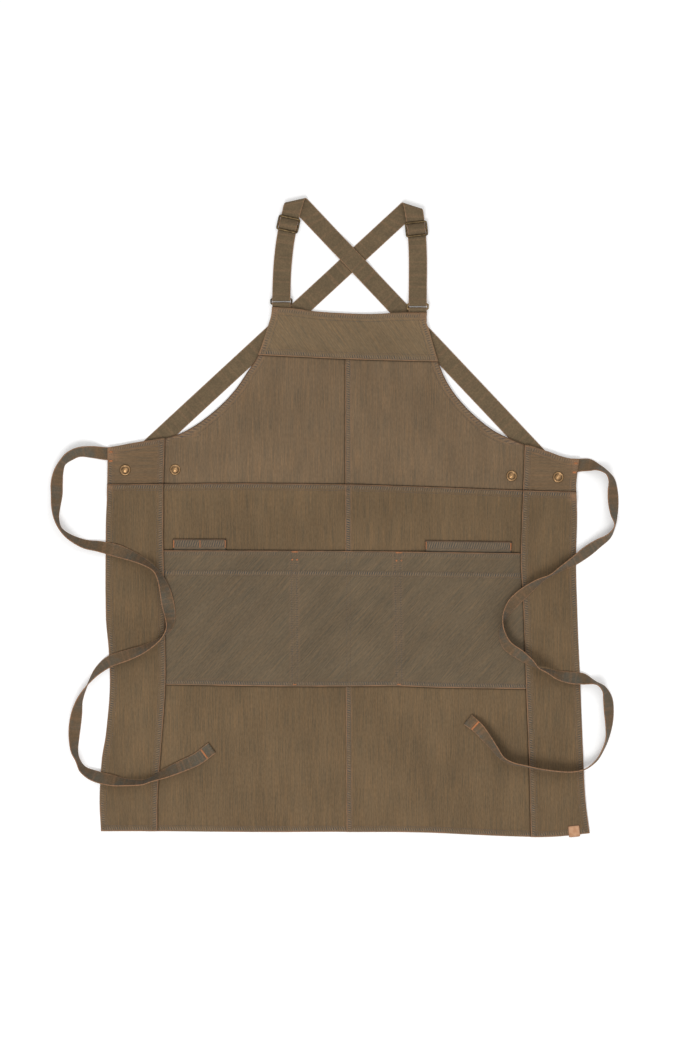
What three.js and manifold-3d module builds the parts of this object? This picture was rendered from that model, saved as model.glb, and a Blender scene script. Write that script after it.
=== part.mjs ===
// Cross back apron, lying face up on a flat surface. Millimetres, X to the right, Y towards the bib,
// Z up, with the surface at Z = 0.
import * as THREE from 'three';
import { mergeVertices } from 'three/addons/utils/BufferGeometryUtils.js';
import Module from 'manifold-3d';

const wasm = await Module();
wasm.setup();

// Body sizes
const HEM_WIDTH = 760;
const FRONT_WIDTH = 557;
const BIB_TOP_WIDTH = 240;
const BIB_TOP_CENTRE = 7;
const BIB_HEIGHT = 265;
const SKIRT_LENGTH = 538;
const HEM_DROOP = 8;
const ARMPIT_RISE = 71;
const YOKE_DEPTH = 71;
const SEAM_LAP = 12;
const CENTRE_LAP = 8.5;

// Pocket sizes
const POCKET_DROP = 102;
const POCKET_HEIGHT = 208;
const WELT_SHOW = 18;
const PATCH_DEPTH = 96;

// Strap, tab and tie sizes
const STRAP_WIDTH = 28;
const STRAP_THICKNESS = 1.6;
const SHOULDER_RISE = 177;
const FOLD_RADIUS = 4;
const TAB_CLOTH = 1;
const TAB_DEPTH = 18;
const TAB_INSET = 0.5;
const TIE_WIDTH = 20;
const TIE_THICKNESS = 1.5;

// Hardware sizes
const WIRE = 2.8;
const WIRE_CHAMFER = 0.8;
const RING_WINDOW = 4.8;
const RING_STAND_OFF = 5.6;
const RING_CORNER = 1.6;
const RING_WINDOW_CORNER = 0.9;
const SLIDER_BAR = 2.6;
const SLIDER_WINDOW = 7.8;
const SLIDER_THICKNESS = 2;
const SLIDER_SIDE_BAR = 2.4;
const SLIDER_REACH = 116;
const SLIDER_CORNER = 2.6;
const SLIDER_WINDOW_CORNER = 0.5;
const SNAP_RADIUS = 8.5;
const SNAP_POST_RADIUS = 2.2;
const SNAP_FLANGE_RADIUS = 6;
const SNAP_FLANGE = 1.2;
const SNAP_CAP_RISE = 2.5;
const SNAP_RISE = 22;
const SNAP_OUTER_INSET = 28;
const SNAP_INNER_INSET = 18;
const STRAP_END = 15;
const PATCH_SIZE = 17.5;
const PATCH_THICKNESS = 1.4;

// Cloth and clearances
const CLOTH = 1;
const GAP = 0.3;
const SIDE_PLAY = 0.6;
const TURN_GAP = 0.5;
const CROSSING_CLEARANCE = 4;

// Heights that follow from the layers
const STRAP_STACK = STRAP_THICKNESS + GAP;
const SNAP_STRAP_BASE = SNAP_FLANGE + GAP;
const SNAP_STACK = SNAP_STRAP_BASE + STRAP_THICKNESS + GAP;
const WIRE_REACH = Math.hypot(WIRE / 2, WIRE / 2 - WIRE_CHAMFER);
const STRAP_TURN = WIRE_REACH + GAP + STRAP_THICKNESS / 2;
const TAB_TURN = WIRE_REACH + GAP + TAB_CLOTH / 2;
const RING_HEIGHT = STRAP_STACK + TAB_TURN + TAB_CLOTH / 2;
const TAB_LEG_LOW = STRAP_STACK + TAB_CLOTH / 2;
const TAB_LEG_HIGH = TAB_LEG_LOW + TAB_CLOTH + GAP;
const TAB_STACK = TAB_LEG_HIGH + TAB_CLOTH / 2 + GAP;
const LAYER_STEP = STRAP_THICKNESS + TURN_GAP;
const SLIDER_HEIGHT = STRAP_THICKNESS / 2 + LAYER_STEP + STRAP_THICKNESS / 2 + GAP + SLIDER_THICKNESS / 2;

// Places that follow from the lengths: the whole length is centred on Y = 0
const WAIST_Y = (SKIRT_LENGTH + HEM_DROOP - BIB_HEIGHT - SHOULDER_RISE) / 2;
const HALF_HEM = HEM_WIDTH / 2;
const HALF_FRONT = FRONT_WIDTH / 2;

// A smooth line through the rows of a table: first column where, second column the value there
function smoothLine(rows) {
  const slopes = rows.map((row, i) => {
    const before = rows[Math.max(i - 1, 0)];
    const after = rows[Math.min(i + 1, rows.length - 1)];
    return (after[1] - before[1]) / (after[0] - before[0]);
  });
  return (where) => {
    const last = rows.length - 1;
    if (where <= rows[0][0]) return rows[0][1] + slopes[0] * (where - rows[0][0]);
    if (where >= rows[last][0]) return rows[last][1] + slopes[last] * (where - rows[last][0]);
    const i = rows.findIndex((row) => row[0] > where) - 1;
    const span = rows[i + 1][0] - rows[i][0];
    const t = (where - rows[i][0]) / span;
    const bend = t * (1 - t) * span * (slopes[i] * (1 - t) - slopes[i + 1] * t);
    const ease = t * t * (3 - 2 * t);
    return rows[i][1] + (rows[i + 1][1] - rows[i][1]) * ease + bend;
  };
}

const mix = (a, b, share) => a + (b - a) * share;

// How far up a height lies, as a share of the bib's height above the waist or the skirt's below it
const upShare = (y) => (y - WAIST_Y) / (y > WAIST_Y ? BIB_HEIGHT : SKIRT_LENGTH);

// Lines that run up the body: [share up, share of half the width across]
const leftEdgeTable = smoothLine([
  [-1, -0.995], [-0.91, -1], [-0.79, -0.991], [-0.72, -0.975], [-0.59, -0.959],
  [-0.48, -0.963], [-0.38, -0.975], [-0.12, -0.975], [0, -0.969], [0.215, -0.967],
]);
const rightEdgeTable = smoothLine([
  [-1, 0.997], [-0.9, 0.979], [-0.71, 0.967], [-0.57, 0.959], [-0.46, 0.952],
  [-0.345, 0.946], [-0.22, 0.942], [-0.086, 0.946], [0, 0.942], [0.149, 0.954],
]);
const leftSeamTable = smoothLine([
  [-1, -1.044], [-0.886, -1.041], [-0.705, -1.015], [-0.578, -0.999], [-0.443, -1],
  [-0.147, -1.011], [0, -1.009], [0.27, -1.0015],
]);
const rightSeamTable = smoothLine([
  [-1, 1.0336], [-0.794, 1.0234], [-0.584, 1.007], [-0.325, 0.989], [-0.227, 0.978],
  [-0.092, 0.985], [0, 0.991], [0.228, 0.999],
]);
const centreTable = smoothLine([[-1, 0.009], [-0.85, 0.0065], [-0.15, 0.002], [1, 0.002]]);

// Lines that run across the body: [share of half the width across, share up]
const yokeTopTable = smoothLine([
  [-0.298, 0.036], [-0.22, 0.029], [-0.118, 0.011], [0.004, 0], [0.106, -0.004], [0.216, 0.002],
  [0.334, 0.0035],
]);
const yokeSeamTable = smoothLine([
  [-0.36, 0.025], [-0.22, 0.015], [0.004, 0], [0.216, -0.009], [0.38, -0.014],
]);
const armpitTable = smoothLine([
  [-0.971, 0.803], [-0.923, 0.844], [-0.873, 0.897], [-0.798, 0.96], [-0.734, 1.006], [-0.5, 1],
  [0, 0.93], [0.5, 0.877], [0.732, 0.861], [0.825, 0.722], [0.877, 0.621], [0.918, 0.568],
  [0.955, 0.558],
]);
const waistTable = smoothLine([
  [-0.97, 0], [-0.755, 0.0014], [-0.428, 0.003], [0.004, 0], [0.347, -0.0072], [0.726, -0.0173],
  [0.942, -0.0213],
]);
const pocketTopTable = smoothLine([[-0.77, 0], [0.06, -0.0023], [0.72, -0.0087]]);
const pocketBottomTable = smoothLine([
  [-0.73, 0], [-0.216, -0.0052], [0.224, -0.0046], [0.38, -0.0087], [0.735, -0.0127],
]);
const hemTable = smoothLine([
  [-0.995, 0.0012], [-0.755, 0.0012], [-0.41, -0.0006], [0.004, -0.0006], [0.318, -0.002],
  [0.522, -0.0083], [0.657, -0.0127], [0.836, -0.015], [0.995, -0.0046],
]);

// Armholes: [share up from the armpit to the bib's top corner, share across from side seam to corner]
const leftArmholeTable = smoothLine([
  [0, 0], [0.035, 0.14], [0.122, 0.327], [0.245, 0.514], [0.367, 0.654], [0.489, 0.757],
  [0.628, 0.866], [0.844, 0.958], [0.932, 0.991], [1, 1],
]);
const rightArmholeTable = smoothLine([
  [0, 0], [0.05, 0.159], [0.111, 0.323], [0.232, 0.528], [0.353, 0.682], [0.475, 0.795],
  [0.611, 0.877], [0.743, 0.932], [0.87, 0.98], [0.93, 1.006], [1, 1],
]);

const across = (x) => x / HALF_HEM;
const rowLine = (height, table, length) => (x) => height + length * table(across(x));
const yokeTop = rowLine(WAIST_Y + BIB_HEIGHT, yokeTopTable, BIB_HEIGHT);
const yokeSeam = rowLine(WAIST_Y + BIB_HEIGHT - YOKE_DEPTH, yokeSeamTable, BIB_HEIGHT);
const armpit = rowLine(WAIST_Y, armpitTable, ARMPIT_RISE);
const waist = rowLine(WAIST_Y, waistTable, SKIRT_LENGTH);
const pocketTop = rowLine(WAIST_Y - POCKET_DROP, pocketTopTable, SKIRT_LENGTH);
const pocketBottom = rowLine(WAIST_Y - POCKET_DROP - POCKET_HEIGHT, pocketBottomTable, SKIRT_LENGTH);
const hem = rowLine(WAIST_Y - SKIRT_LENGTH, hemTable, SKIRT_LENGTH);

const leftEdge = (y) => HALF_HEM * leftEdgeTable(upShare(y));
const rightEdge = (y) => HALF_HEM * rightEdgeTable(upShare(y));
const centre = (y) => HALF_FRONT * centreTable(upShare(y));

// A side seam up to the armpit and the armhole above it, as one line
function sideLine(seamTable, armholeTable, cornerX) {
  const armpitY = armpit(HALF_FRONT * seamTable(ARMPIT_RISE / BIB_HEIGHT));
  const armpitX = HALF_FRONT * seamTable(upShare(armpitY));
  const cornerY = yokeTop(cornerX);
  return (y) => {
    if (y <= armpitY) return HALF_FRONT * seamTable(upShare(y));
    return mix(armpitX, cornerX, armholeTable((y - armpitY) / (cornerY - armpitY)));
  };
}
const leftCorner = BIB_TOP_CENTRE - BIB_TOP_WIDTH / 2;
const rightCorner = BIB_TOP_CENTRE + BIB_TOP_WIDTH / 2;
const leftSeam = sideLine(leftSeamTable, leftArmholeTable, leftCorner);
const rightSeam = sideLine(rightSeamTable, rightArmholeTable, rightCorner);

// The pattern grid: every panel takes its cells from these columns and rows, so that lapped layers
// follow each other. Columns go from left to right, rows from the bib's top down to the hem.
const between = (a, b, share) => (where) => mix(a(where), b(where), share);
const shifted = (line, by) => (where) => line(where) + by;
const columnLines = [
  ['leftEdge', leftEdge],
  ['leftSideMiddle', between(leftEdge, leftSeam, 0.36)],
  ['leftSideInner', shifted(leftSeam, -2 * SEAM_LAP)],
  ['leftLap', shifted(leftSeam, -SEAM_LAP)],
  ['leftSeam', leftSeam],
  ['penLeft', between(leftSeam, centre, 0.052)],
  ['penRight', between(leftSeam, centre, 0.346)],
  ['leftMiddle', between(leftSeam, centre, 0.53)],
  ['leftDivider', between(leftSeam, centre, 0.717)],
  ['leftOfCentre', between(leftSeam, centre, 0.86)],
  ['centre', centre],
  ['centreLap', shifted(centre, CENTRE_LAP)],
  ['rightDivider', between(centre, rightSeam, 0.297)],
  ['towelLeft', between(centre, rightSeam, 0.454)],
  ['towelMiddle', between(centre, rightSeam, 0.62)],
  ['towelInner', between(centre, rightSeam, 0.79)],
  ['towelRight', between(centre, rightSeam, 0.947)],
  ['rightSeam', rightSeam],
  ['rightLap', shifted(rightSeam, SEAM_LAP)],
  ['rightSideInner', shifted(rightSeam, 2 * SEAM_LAP)],
  ['rightSideMiddle', between(rightSeam, rightEdge, 0.64)],
  ['rightEdge', rightEdge],
];
const rowLines = [
  ['yokeTop', yokeTop],
  ['tabEnd', shifted(yokeTop, -TAB_DEPTH - GAP)],
  ['yokeLap', shifted(yokeSeam, SEAM_LAP)],
  ['yokeSeam', yokeSeam],
  ['bibUpper', between(yokeSeam, armpit, 0.3)],
  ['bibMiddle', between(yokeSeam, armpit, 0.55)],
  ['bibLower', between(yokeSeam, armpit, 0.76)],
  ['aboveArmpit', between(yokeSeam, armpit, 0.91)],
  ['armpit', armpit],
  ['belowArmpit', between(armpit, waist, 0.5)],
  ['waist', waist],
  ['waistLap', shifted(waist, -SEAM_LAP)],
  ['belowWaist', shifted(waist, -2 * SEAM_LAP)],
  ['aboveWelt', between(waist, pocketTop, 0.55)],
  ['weltTop', shifted(pocketTop, WELT_SHOW)],
  ['pocketTop', pocketTop],
  ['belowPocketTop', shifted(pocketTop, -SEAM_LAP)],
  ['patchEnd', shifted(pocketTop, WELT_SHOW - PATCH_DEPTH)],
  ['pocketLower', between(pocketTop, pocketBottom, 0.7)],
  ['pocketBottom', pocketBottom],
  ['belowPocket', shifted(pocketBottom, -SEAM_LAP)],
  ['skirtMiddle', between(pocketBottom, hem, 0.35)],
  ['skirtLower', between(pocketBottom, hem, 0.65)],
  ['aboveHem', shifted(hem, SEAM_LAP)],
  ['hem', hem],
];
const columns = columnLines.map(([, line]) => line);
const rows = rowLines.map(([, line]) => line);
const indexByName = (lines) => Object.fromEntries(lines.map(([name], index) => [name, index]));
const col = indexByName(columnLines);
const row = indexByName(rowLines);

// Where a column crosses a row
const CROSSING_ROUNDS = 14;
function crossing(column, line) {
  let x = 0;
  let y = line(x);
  for (let i = 0; i < CROSSING_ROUNDS; i += 1) {
    x = column(y);
    y = line(x);
  }
  return [x, y];
}
const grid = columns.map((column) => rows.map((line) => crossing(column, line)));

// Soft ripples of the cloth: places and sizes as shares of half the hem and of the skirt's length
const RIPPLES = [
  { across: -0.93, up: -0.86, wide: 0.16, long: 0.12, lift: 2.6 },
  { across: 0.93, up: -0.88, wide: 0.16, long: 0.12, lift: 2.8 },
  { across: 0.46, up: -0.99, wide: 0.2, long: 0.09, lift: 2.2 },
  { across: -0.34, up: -0.99, wide: 0.18, long: 0.07, lift: 1.4 },
  { across: 0.12, up: -0.72, wide: 0.14, long: 0.14, lift: 1.6 },
];
const RIPPLE_FLOOR = 0.5;
function rippleLift(x, y) {
  let lift = 0;
  for (const ripple of RIPPLES) {
    const sideways = (across(x) - ripple.across) / ripple.wide;
    const upwards = (upShare(y) - ripple.up) / ripple.long;
    lift += ripple.lift * Math.exp(-sideways * sideways - upwards * upwards);
  }
  return Math.max(0, lift - RIPPLE_FLOOR);
}

// The rings' places, from the bib's top corners
const ringSides = {
  left: leftCorner + STRAP_WIDTH / 2 + TAB_INSET,
  right: rightCorner - STRAP_WIDTH / 2 - TAB_INSET,
};

// Height of the cloth's underside where nothing but straps and tabs lies below it
function groundHeight(x, y, columnIndex, rowIndex) {
  if (rowIndex > row.waistLap) return rippleLift(x, y);
  const outside = columnIndex < col.leftLap || columnIndex > col.rightLap;
  if (outside) return SNAP_STACK;
  const nearTab = Math.min(Math.abs(x - ringSides.left), Math.abs(x - ringSides.right));
  const overTab = rowIndex <= row.tabEnd && nearTab < STRAP_WIDTH / 2 + 2 * SEAM_LAP;
  return overTab ? TAB_STACK : STRAP_STACK;
}

// Top of the cloth at each grid point, kept up to date as the panels are laid in sewing order
const topHeights = grid.map((line) => line.map(() => null));

// A closed mesh from loose vertices and triangles, turned so that its faces point out
function closedGeometry(vertices, triangles) {
  let volume = 0;
  for (const [a, b, c] of triangles) {
    const pa = new THREE.Vector3(...vertices[a]);
    const pb = new THREE.Vector3(...vertices[b]);
    const pc = new THREE.Vector3(...vertices[c]);
    volume += pa.dot(pb.cross(pc));
  }
  const faces = volume > 0 ? triangles : triangles.map(([a, b, c]) => [a, c, b]);
  const geometry = new THREE.BufferGeometry();
  geometry.setAttribute('position', new THREE.Float32BufferAttribute(vertices.flat(), 3));
  geometry.setIndex(faces.flat());
  return geometry;
}

// A sheet of cloth over blocks of grid cells: [first column, last column, first row, last row] each
function layPanel(blocks) {
  const cells = new Set();
  for (const [firstColumn, lastColumn, firstRow, lastRow] of blocks) {
    for (let i = firstColumn; i < lastColumn; i += 1) {
      for (let j = firstRow; j < lastRow; j += 1) cells.add(`${i},${j}`);
    }
  }
  const points = new Map();
  const vertices = [];
  const pointAt = (i, j) => {
    const key = `${i},${j}`;
    if (points.has(key)) return points.get(key);
    const [x, y] = grid[i][j];
    const below = topHeights[i][j];
    const z = below === null ? groundHeight(x, y, i, j) : below + GAP;
    const first = vertices.length;
    vertices.push([x, y, z], [x, y, z + CLOTH]);
    points.set(key, first);
    return first;
  };
  const triangles = [];
  const quad = (a, b, c, d) => triangles.push([a, b, c], [a, c, d]);
  for (const cell of cells) {
    const [i, j] = cell.split(',').map(Number);
    const a = pointAt(i, j);
    const b = pointAt(i, j + 1);
    const c = pointAt(i + 1, j + 1);
    const d = pointAt(i + 1, j);
    quad(a + 1, b + 1, c + 1, d + 1);
    quad(a, d, c, b);
    if (!cells.has(`${i - 1},${j}`)) quad(a + 1, a, b, b + 1);
    if (!cells.has(`${i},${j + 1}`)) quad(b + 1, b, c, c + 1);
    if (!cells.has(`${i + 1},${j}`)) quad(c + 1, c, d, d + 1);
    if (!cells.has(`${i},${j - 1}`)) quad(d + 1, d, a, a + 1);
  }
  for (const [key, first] of points) {
    const [i, j] = key.split(',').map(Number);
    topHeights[i][j] = vertices[first + 1][2];
  }
  return closedGeometry(vertices, triangles);
}

// Height of the cloth's top at a place, from the grid cell that holds it
function clothTop(x, y) {
  const inside = (p, a, b, c) => {
    const area = (q, r, s) => (r[0] - q[0]) * (s[1] - q[1]) - (s[0] - q[0]) * (r[1] - q[1]);
    const whole = area(a, b, c);
    return [area(p, b, c) / whole, area(a, p, c) / whole, area(a, b, p) / whole];
  };
  for (let i = 0; i < columns.length - 1; i += 1) {
    for (let j = 0; j < rows.length - 1; j += 1) {
      const lower = [[i, j], [i, j + 1], [i + 1, j + 1]];
      const upper = [[i, j], [i + 1, j + 1], [i + 1, j]];
      for (const corners of [lower, upper]) {
        const heights = corners.map(([u, v]) => topHeights[u][v]);
        if (heights.includes(null)) continue;
        const shares = inside([x, y], ...corners.map(([u, v]) => grid[u][v]));
        if (Math.min(...shares) < 0) continue;
        return shares[0] * heights[0] + shares[1] * heights[1] + shares[2] * heights[2];
      }
    }
  }
  return 0;
}

// Cuts and joins with manifold-3d
function toSolid(geometry) {
  const bare = geometry.clone();
  bare.deleteAttribute('normal');
  bare.deleteAttribute('uv');
  const merged = mergeVertices(bare, 1e-5);
  return new wasm.Manifold(new wasm.Mesh({
    numProp: 3,
    vertProperties: new Float32Array(merged.attributes.position.array),
    triVerts: new Uint32Array(merged.index.array),
  }));
}
function fromSolid(solid) {
  const mesh = solid.getMesh();
  const geometry = new THREE.BufferGeometry();
  geometry.setAttribute('position', new THREE.Float32BufferAttribute(mesh.vertProperties, 3));
  geometry.setIndex(Array.from(mesh.triVerts));
  return geometry;
}
const HOLE_SIDES = 10;
const HOLE_REACH = 20;
function withHoles(geometry, places) {
  let solid = toSolid(geometry);
  for (const [x, y] of places) {
    const drill = new THREE.CylinderGeometry(
      SNAP_POST_RADIUS + GAP, SNAP_POST_RADIUS + GAP, 2 * HOLE_REACH, HOLE_SIDES,
    );
    drill.rotateX(Math.PI / 2);
    drill.translate(x, y, 0);
    solid = solid.subtract(toSolid(drill));
  }
  return fromSolid(solid);
}

// A flat strip through stations, each with its two edge points and the outward direction at each.
// Its upper and lower faces are split along the same diagonal, so that a twist keeps them apart.
function stripGeometry(stations, thickness) {
  const vertices = [];
  for (const { left, right, leftOut, rightOut } of stations) {
    const offset = (point, out, by) => point.clone().addScaledVector(out, by).toArray();
    vertices.push(
      offset(left, leftOut, thickness / 2), offset(right, rightOut, thickness / 2),
      offset(right, rightOut, -thickness / 2), offset(left, leftOut, -thickness / 2),
    );
  }
  const triangles = [];
  const quad = (a, b, c, d) => triangles.push([a, b, c], [a, c, d]);
  const last = 4 * (stations.length - 1);
  for (let s = 0; s < last; s += 4) {
    const next = s + 4;
    quad(s, s + 1, next + 1, next);
    quad(s + 1, s + 2, next + 2, next + 1);
    quad(s + 3, next + 3, next + 2, s + 2);
    quad(s + 3, s, next, next + 3);
  }
  quad(3, 2, 1, 0);
  quad(last, last + 1, last + 2, last + 3);
  return closedGeometry(vertices, triangles);
}

// Stations along a centre line whose width direction is given at each point
function stationsAlong(points, sides, width) {
  return points.map((point, i) => {
    const before = points[Math.max(i - 1, 0)];
    const after = points[Math.min(i + 1, points.length - 1)];
    const incoming = point.clone().sub(before);
    const outgoing = after.clone().sub(point);
    if (incoming.length() > 0) incoming.normalize();
    if (outgoing.length() > 0) outgoing.normalize();
    const forward = incoming.add(outgoing).normalize();
    const out = new THREE.Vector3().crossVectors(sides[i], forward).normalize();
    return {
      left: point.clone().addScaledVector(sides[i], -width / 2),
      right: point.clone().addScaledVector(sides[i], width / 2),
      leftOut: out,
      rightOut: out,
    };
  });
}

// Body panels, laid in sewing order
const snapPlaces = {
  outerLeft: [leftEdge(WAIST_Y) + SNAP_OUTER_INSET],
  innerLeft: [leftSeam(WAIST_Y) + SNAP_INNER_INSET],
  innerRight: [rightSeam(WAIST_Y) - SNAP_INNER_INSET],
  outerRight: [rightEdge(WAIST_Y) - SNAP_OUTER_INSET],
};
for (const place of Object.values(snapPlaces)) place.push(waist(place[0]) + SNAP_RISE);

const panels = {};
panels.bib_left = withHoles(layPanel([
  [col.leftSeam, col.centreLap, row.yokeLap, row.waistLap],
  [col.leftLap, col.leftSeam, row.armpit, row.waistLap],
]), [snapPlaces.innerLeft]);
panels.bib_right = withHoles(layPanel([
  [col.centre, col.rightSeam, row.yokeLap, row.waistLap],
  [col.rightSeam, col.rightLap, row.armpit, row.waistLap],
]), [snapPlaces.innerRight]);
panels.upper_side_left = withHoles(
  layPanel([[col.leftEdge, col.leftSeam, row.armpit, row.waistLap]]), [snapPlaces.outerLeft],
);
panels.upper_side_right = withHoles(
  layPanel([[col.rightSeam, col.rightEdge, row.armpit, row.waistLap]]), [snapPlaces.outerRight],
);
const snapSeats = {};
for (const [name, place] of Object.entries(snapPlaces)) snapSeats[name] = clothTop(...place);
panels.bib_yoke = layPanel([[col.leftSeam, col.rightSeam, row.yokeTop, row.yokeSeam]]);
panels.skirt_left = layPanel([[col.leftLap, col.centreLap, row.waist, row.hem]]);
panels.skirt_right = layPanel([[col.centre, col.rightLap, row.waist, row.hem]]);
panels.pen_pocket = layPanel([[col.penLeft, col.penRight, row.weltTop, row.patchEnd]]);
panels.towel_pocket = layPanel([[col.towelLeft, col.towelRight, row.weltTop, row.patchEnd]]);
panels.big_pocket = layPanel([[col.leftLap, col.rightLap, row.pocketTop, row.pocketBottom]]);
panels.side_left = layPanel([[col.leftEdge, col.leftSeam, row.waist, row.hem]]);
panels.side_right = layPanel([[col.rightSeam, col.rightEdge, row.waist, row.hem]]);

// Shoulder straps. Each starts under its slider, goes round its ring, back up through the slider,
// over the shoulder fold and down across the back to the far outer snap.
const flat = (angle) => new THREE.Vector3(Math.cos(angle), Math.sin(angle), 0);
const degrees = (value) => THREE.MathUtils.degToRad(value);
const HALF_TOP = BIB_TOP_WIDTH / 2;
const STRAPS = {
  left: { exitAcross: -0.657, exitUp: 0.967, lean: 72, overCrossing: true, snap: snapPlaces.outerRight },
  right: { exitAcross: 0.768, exitUp: 0.922, lean: 101.5, overCrossing: false, snap: snapPlaces.outerLeft },
};
const TURN_STEPS = 5;
const ROLL_STEPS = 8;
const RISE_LENGTH = 25;

for (const [side, strap] of Object.entries(STRAPS)) {
  const ringX = ringSides[side];
  const tabBarY = yokeTop(ringX) + RING_STAND_OFF;
  strap.tabBar = new THREE.Vector3(ringX, tabBarY, 0);
  strap.ringBar = new THREE.Vector3(ringX, tabBarY + WIRE + RING_WINDOW, 0);
  strap.exit = new THREE.Vector3(
    BIB_TOP_CENTRE + strap.exitAcross * HALF_TOP, yokeTop(0) + strap.exitUp * SHOULDER_RISE, 0,
  );
  strap.up = degrees(strap.lean);
  strap.down = Math.atan2(strap.snap[1] - strap.exit.y, strap.snap[0] - strap.exit.x);
}

// The shoulder fold of a strap: the crease, the way over it, and where the run up to it ends
function shoulderFold(strap) {
  const upward = flat(strap.up);
  const axis = flat((strap.up + strap.down) / 2);
  const beyond = new THREE.Vector3(-axis.y, axis.x, 0);
  if (beyond.y < 0) beyond.negate();
  const rollRun = Math.PI * FOLD_RADIUS / upward.dot(beyond);
  const start = strap.exit.clone().addScaledVector(axis, -rollRun * upward.dot(axis));
  return { upward, axis, beyond, rollRun, start };
}

// The plan of a strap's run from its ring up to the shoulder fold: its place and its side direction
function frontRun(strap) {
  const { upward, start } = shoulderFold(strap);
  const chord = start.distanceTo(strap.ringBar);
  const fromRing = new THREE.Vector3(0, chord, 0);
  const intoFold = upward.clone().multiplyScalar(chord);
  const placeAt = (run) => {
    const t = run / chord;
    return strap.ringBar.clone().multiplyScalar(2 * t ** 3 - 3 * t ** 2 + 1)
      .addScaledVector(fromRing, t ** 3 - 2 * t ** 2 + t)
      .addScaledVector(start, 3 * t ** 2 - 2 * t ** 3)
      .addScaledVector(intoFold, t ** 3 - t ** 2);
  };
  const sideAt = (run) => {
    const ahead = placeAt(run + 1).sub(placeAt(run - 1)).normalize();
    return new THREE.Vector3(ahead.y, -ahead.x, 0);
  };
  return { placeAt, sideAt };
}

// The point where the two back runs cross, as a run from the first one's shoulder
function crossingRun(one, other) {
  const a = flat(one.down);
  const b = flat(other.down);
  const apart = other.exit.clone().sub(one.exit);
  return (apart.x * b.y - apart.y * b.x) / (a.x * b.y - a.y * b.x);
}

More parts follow.
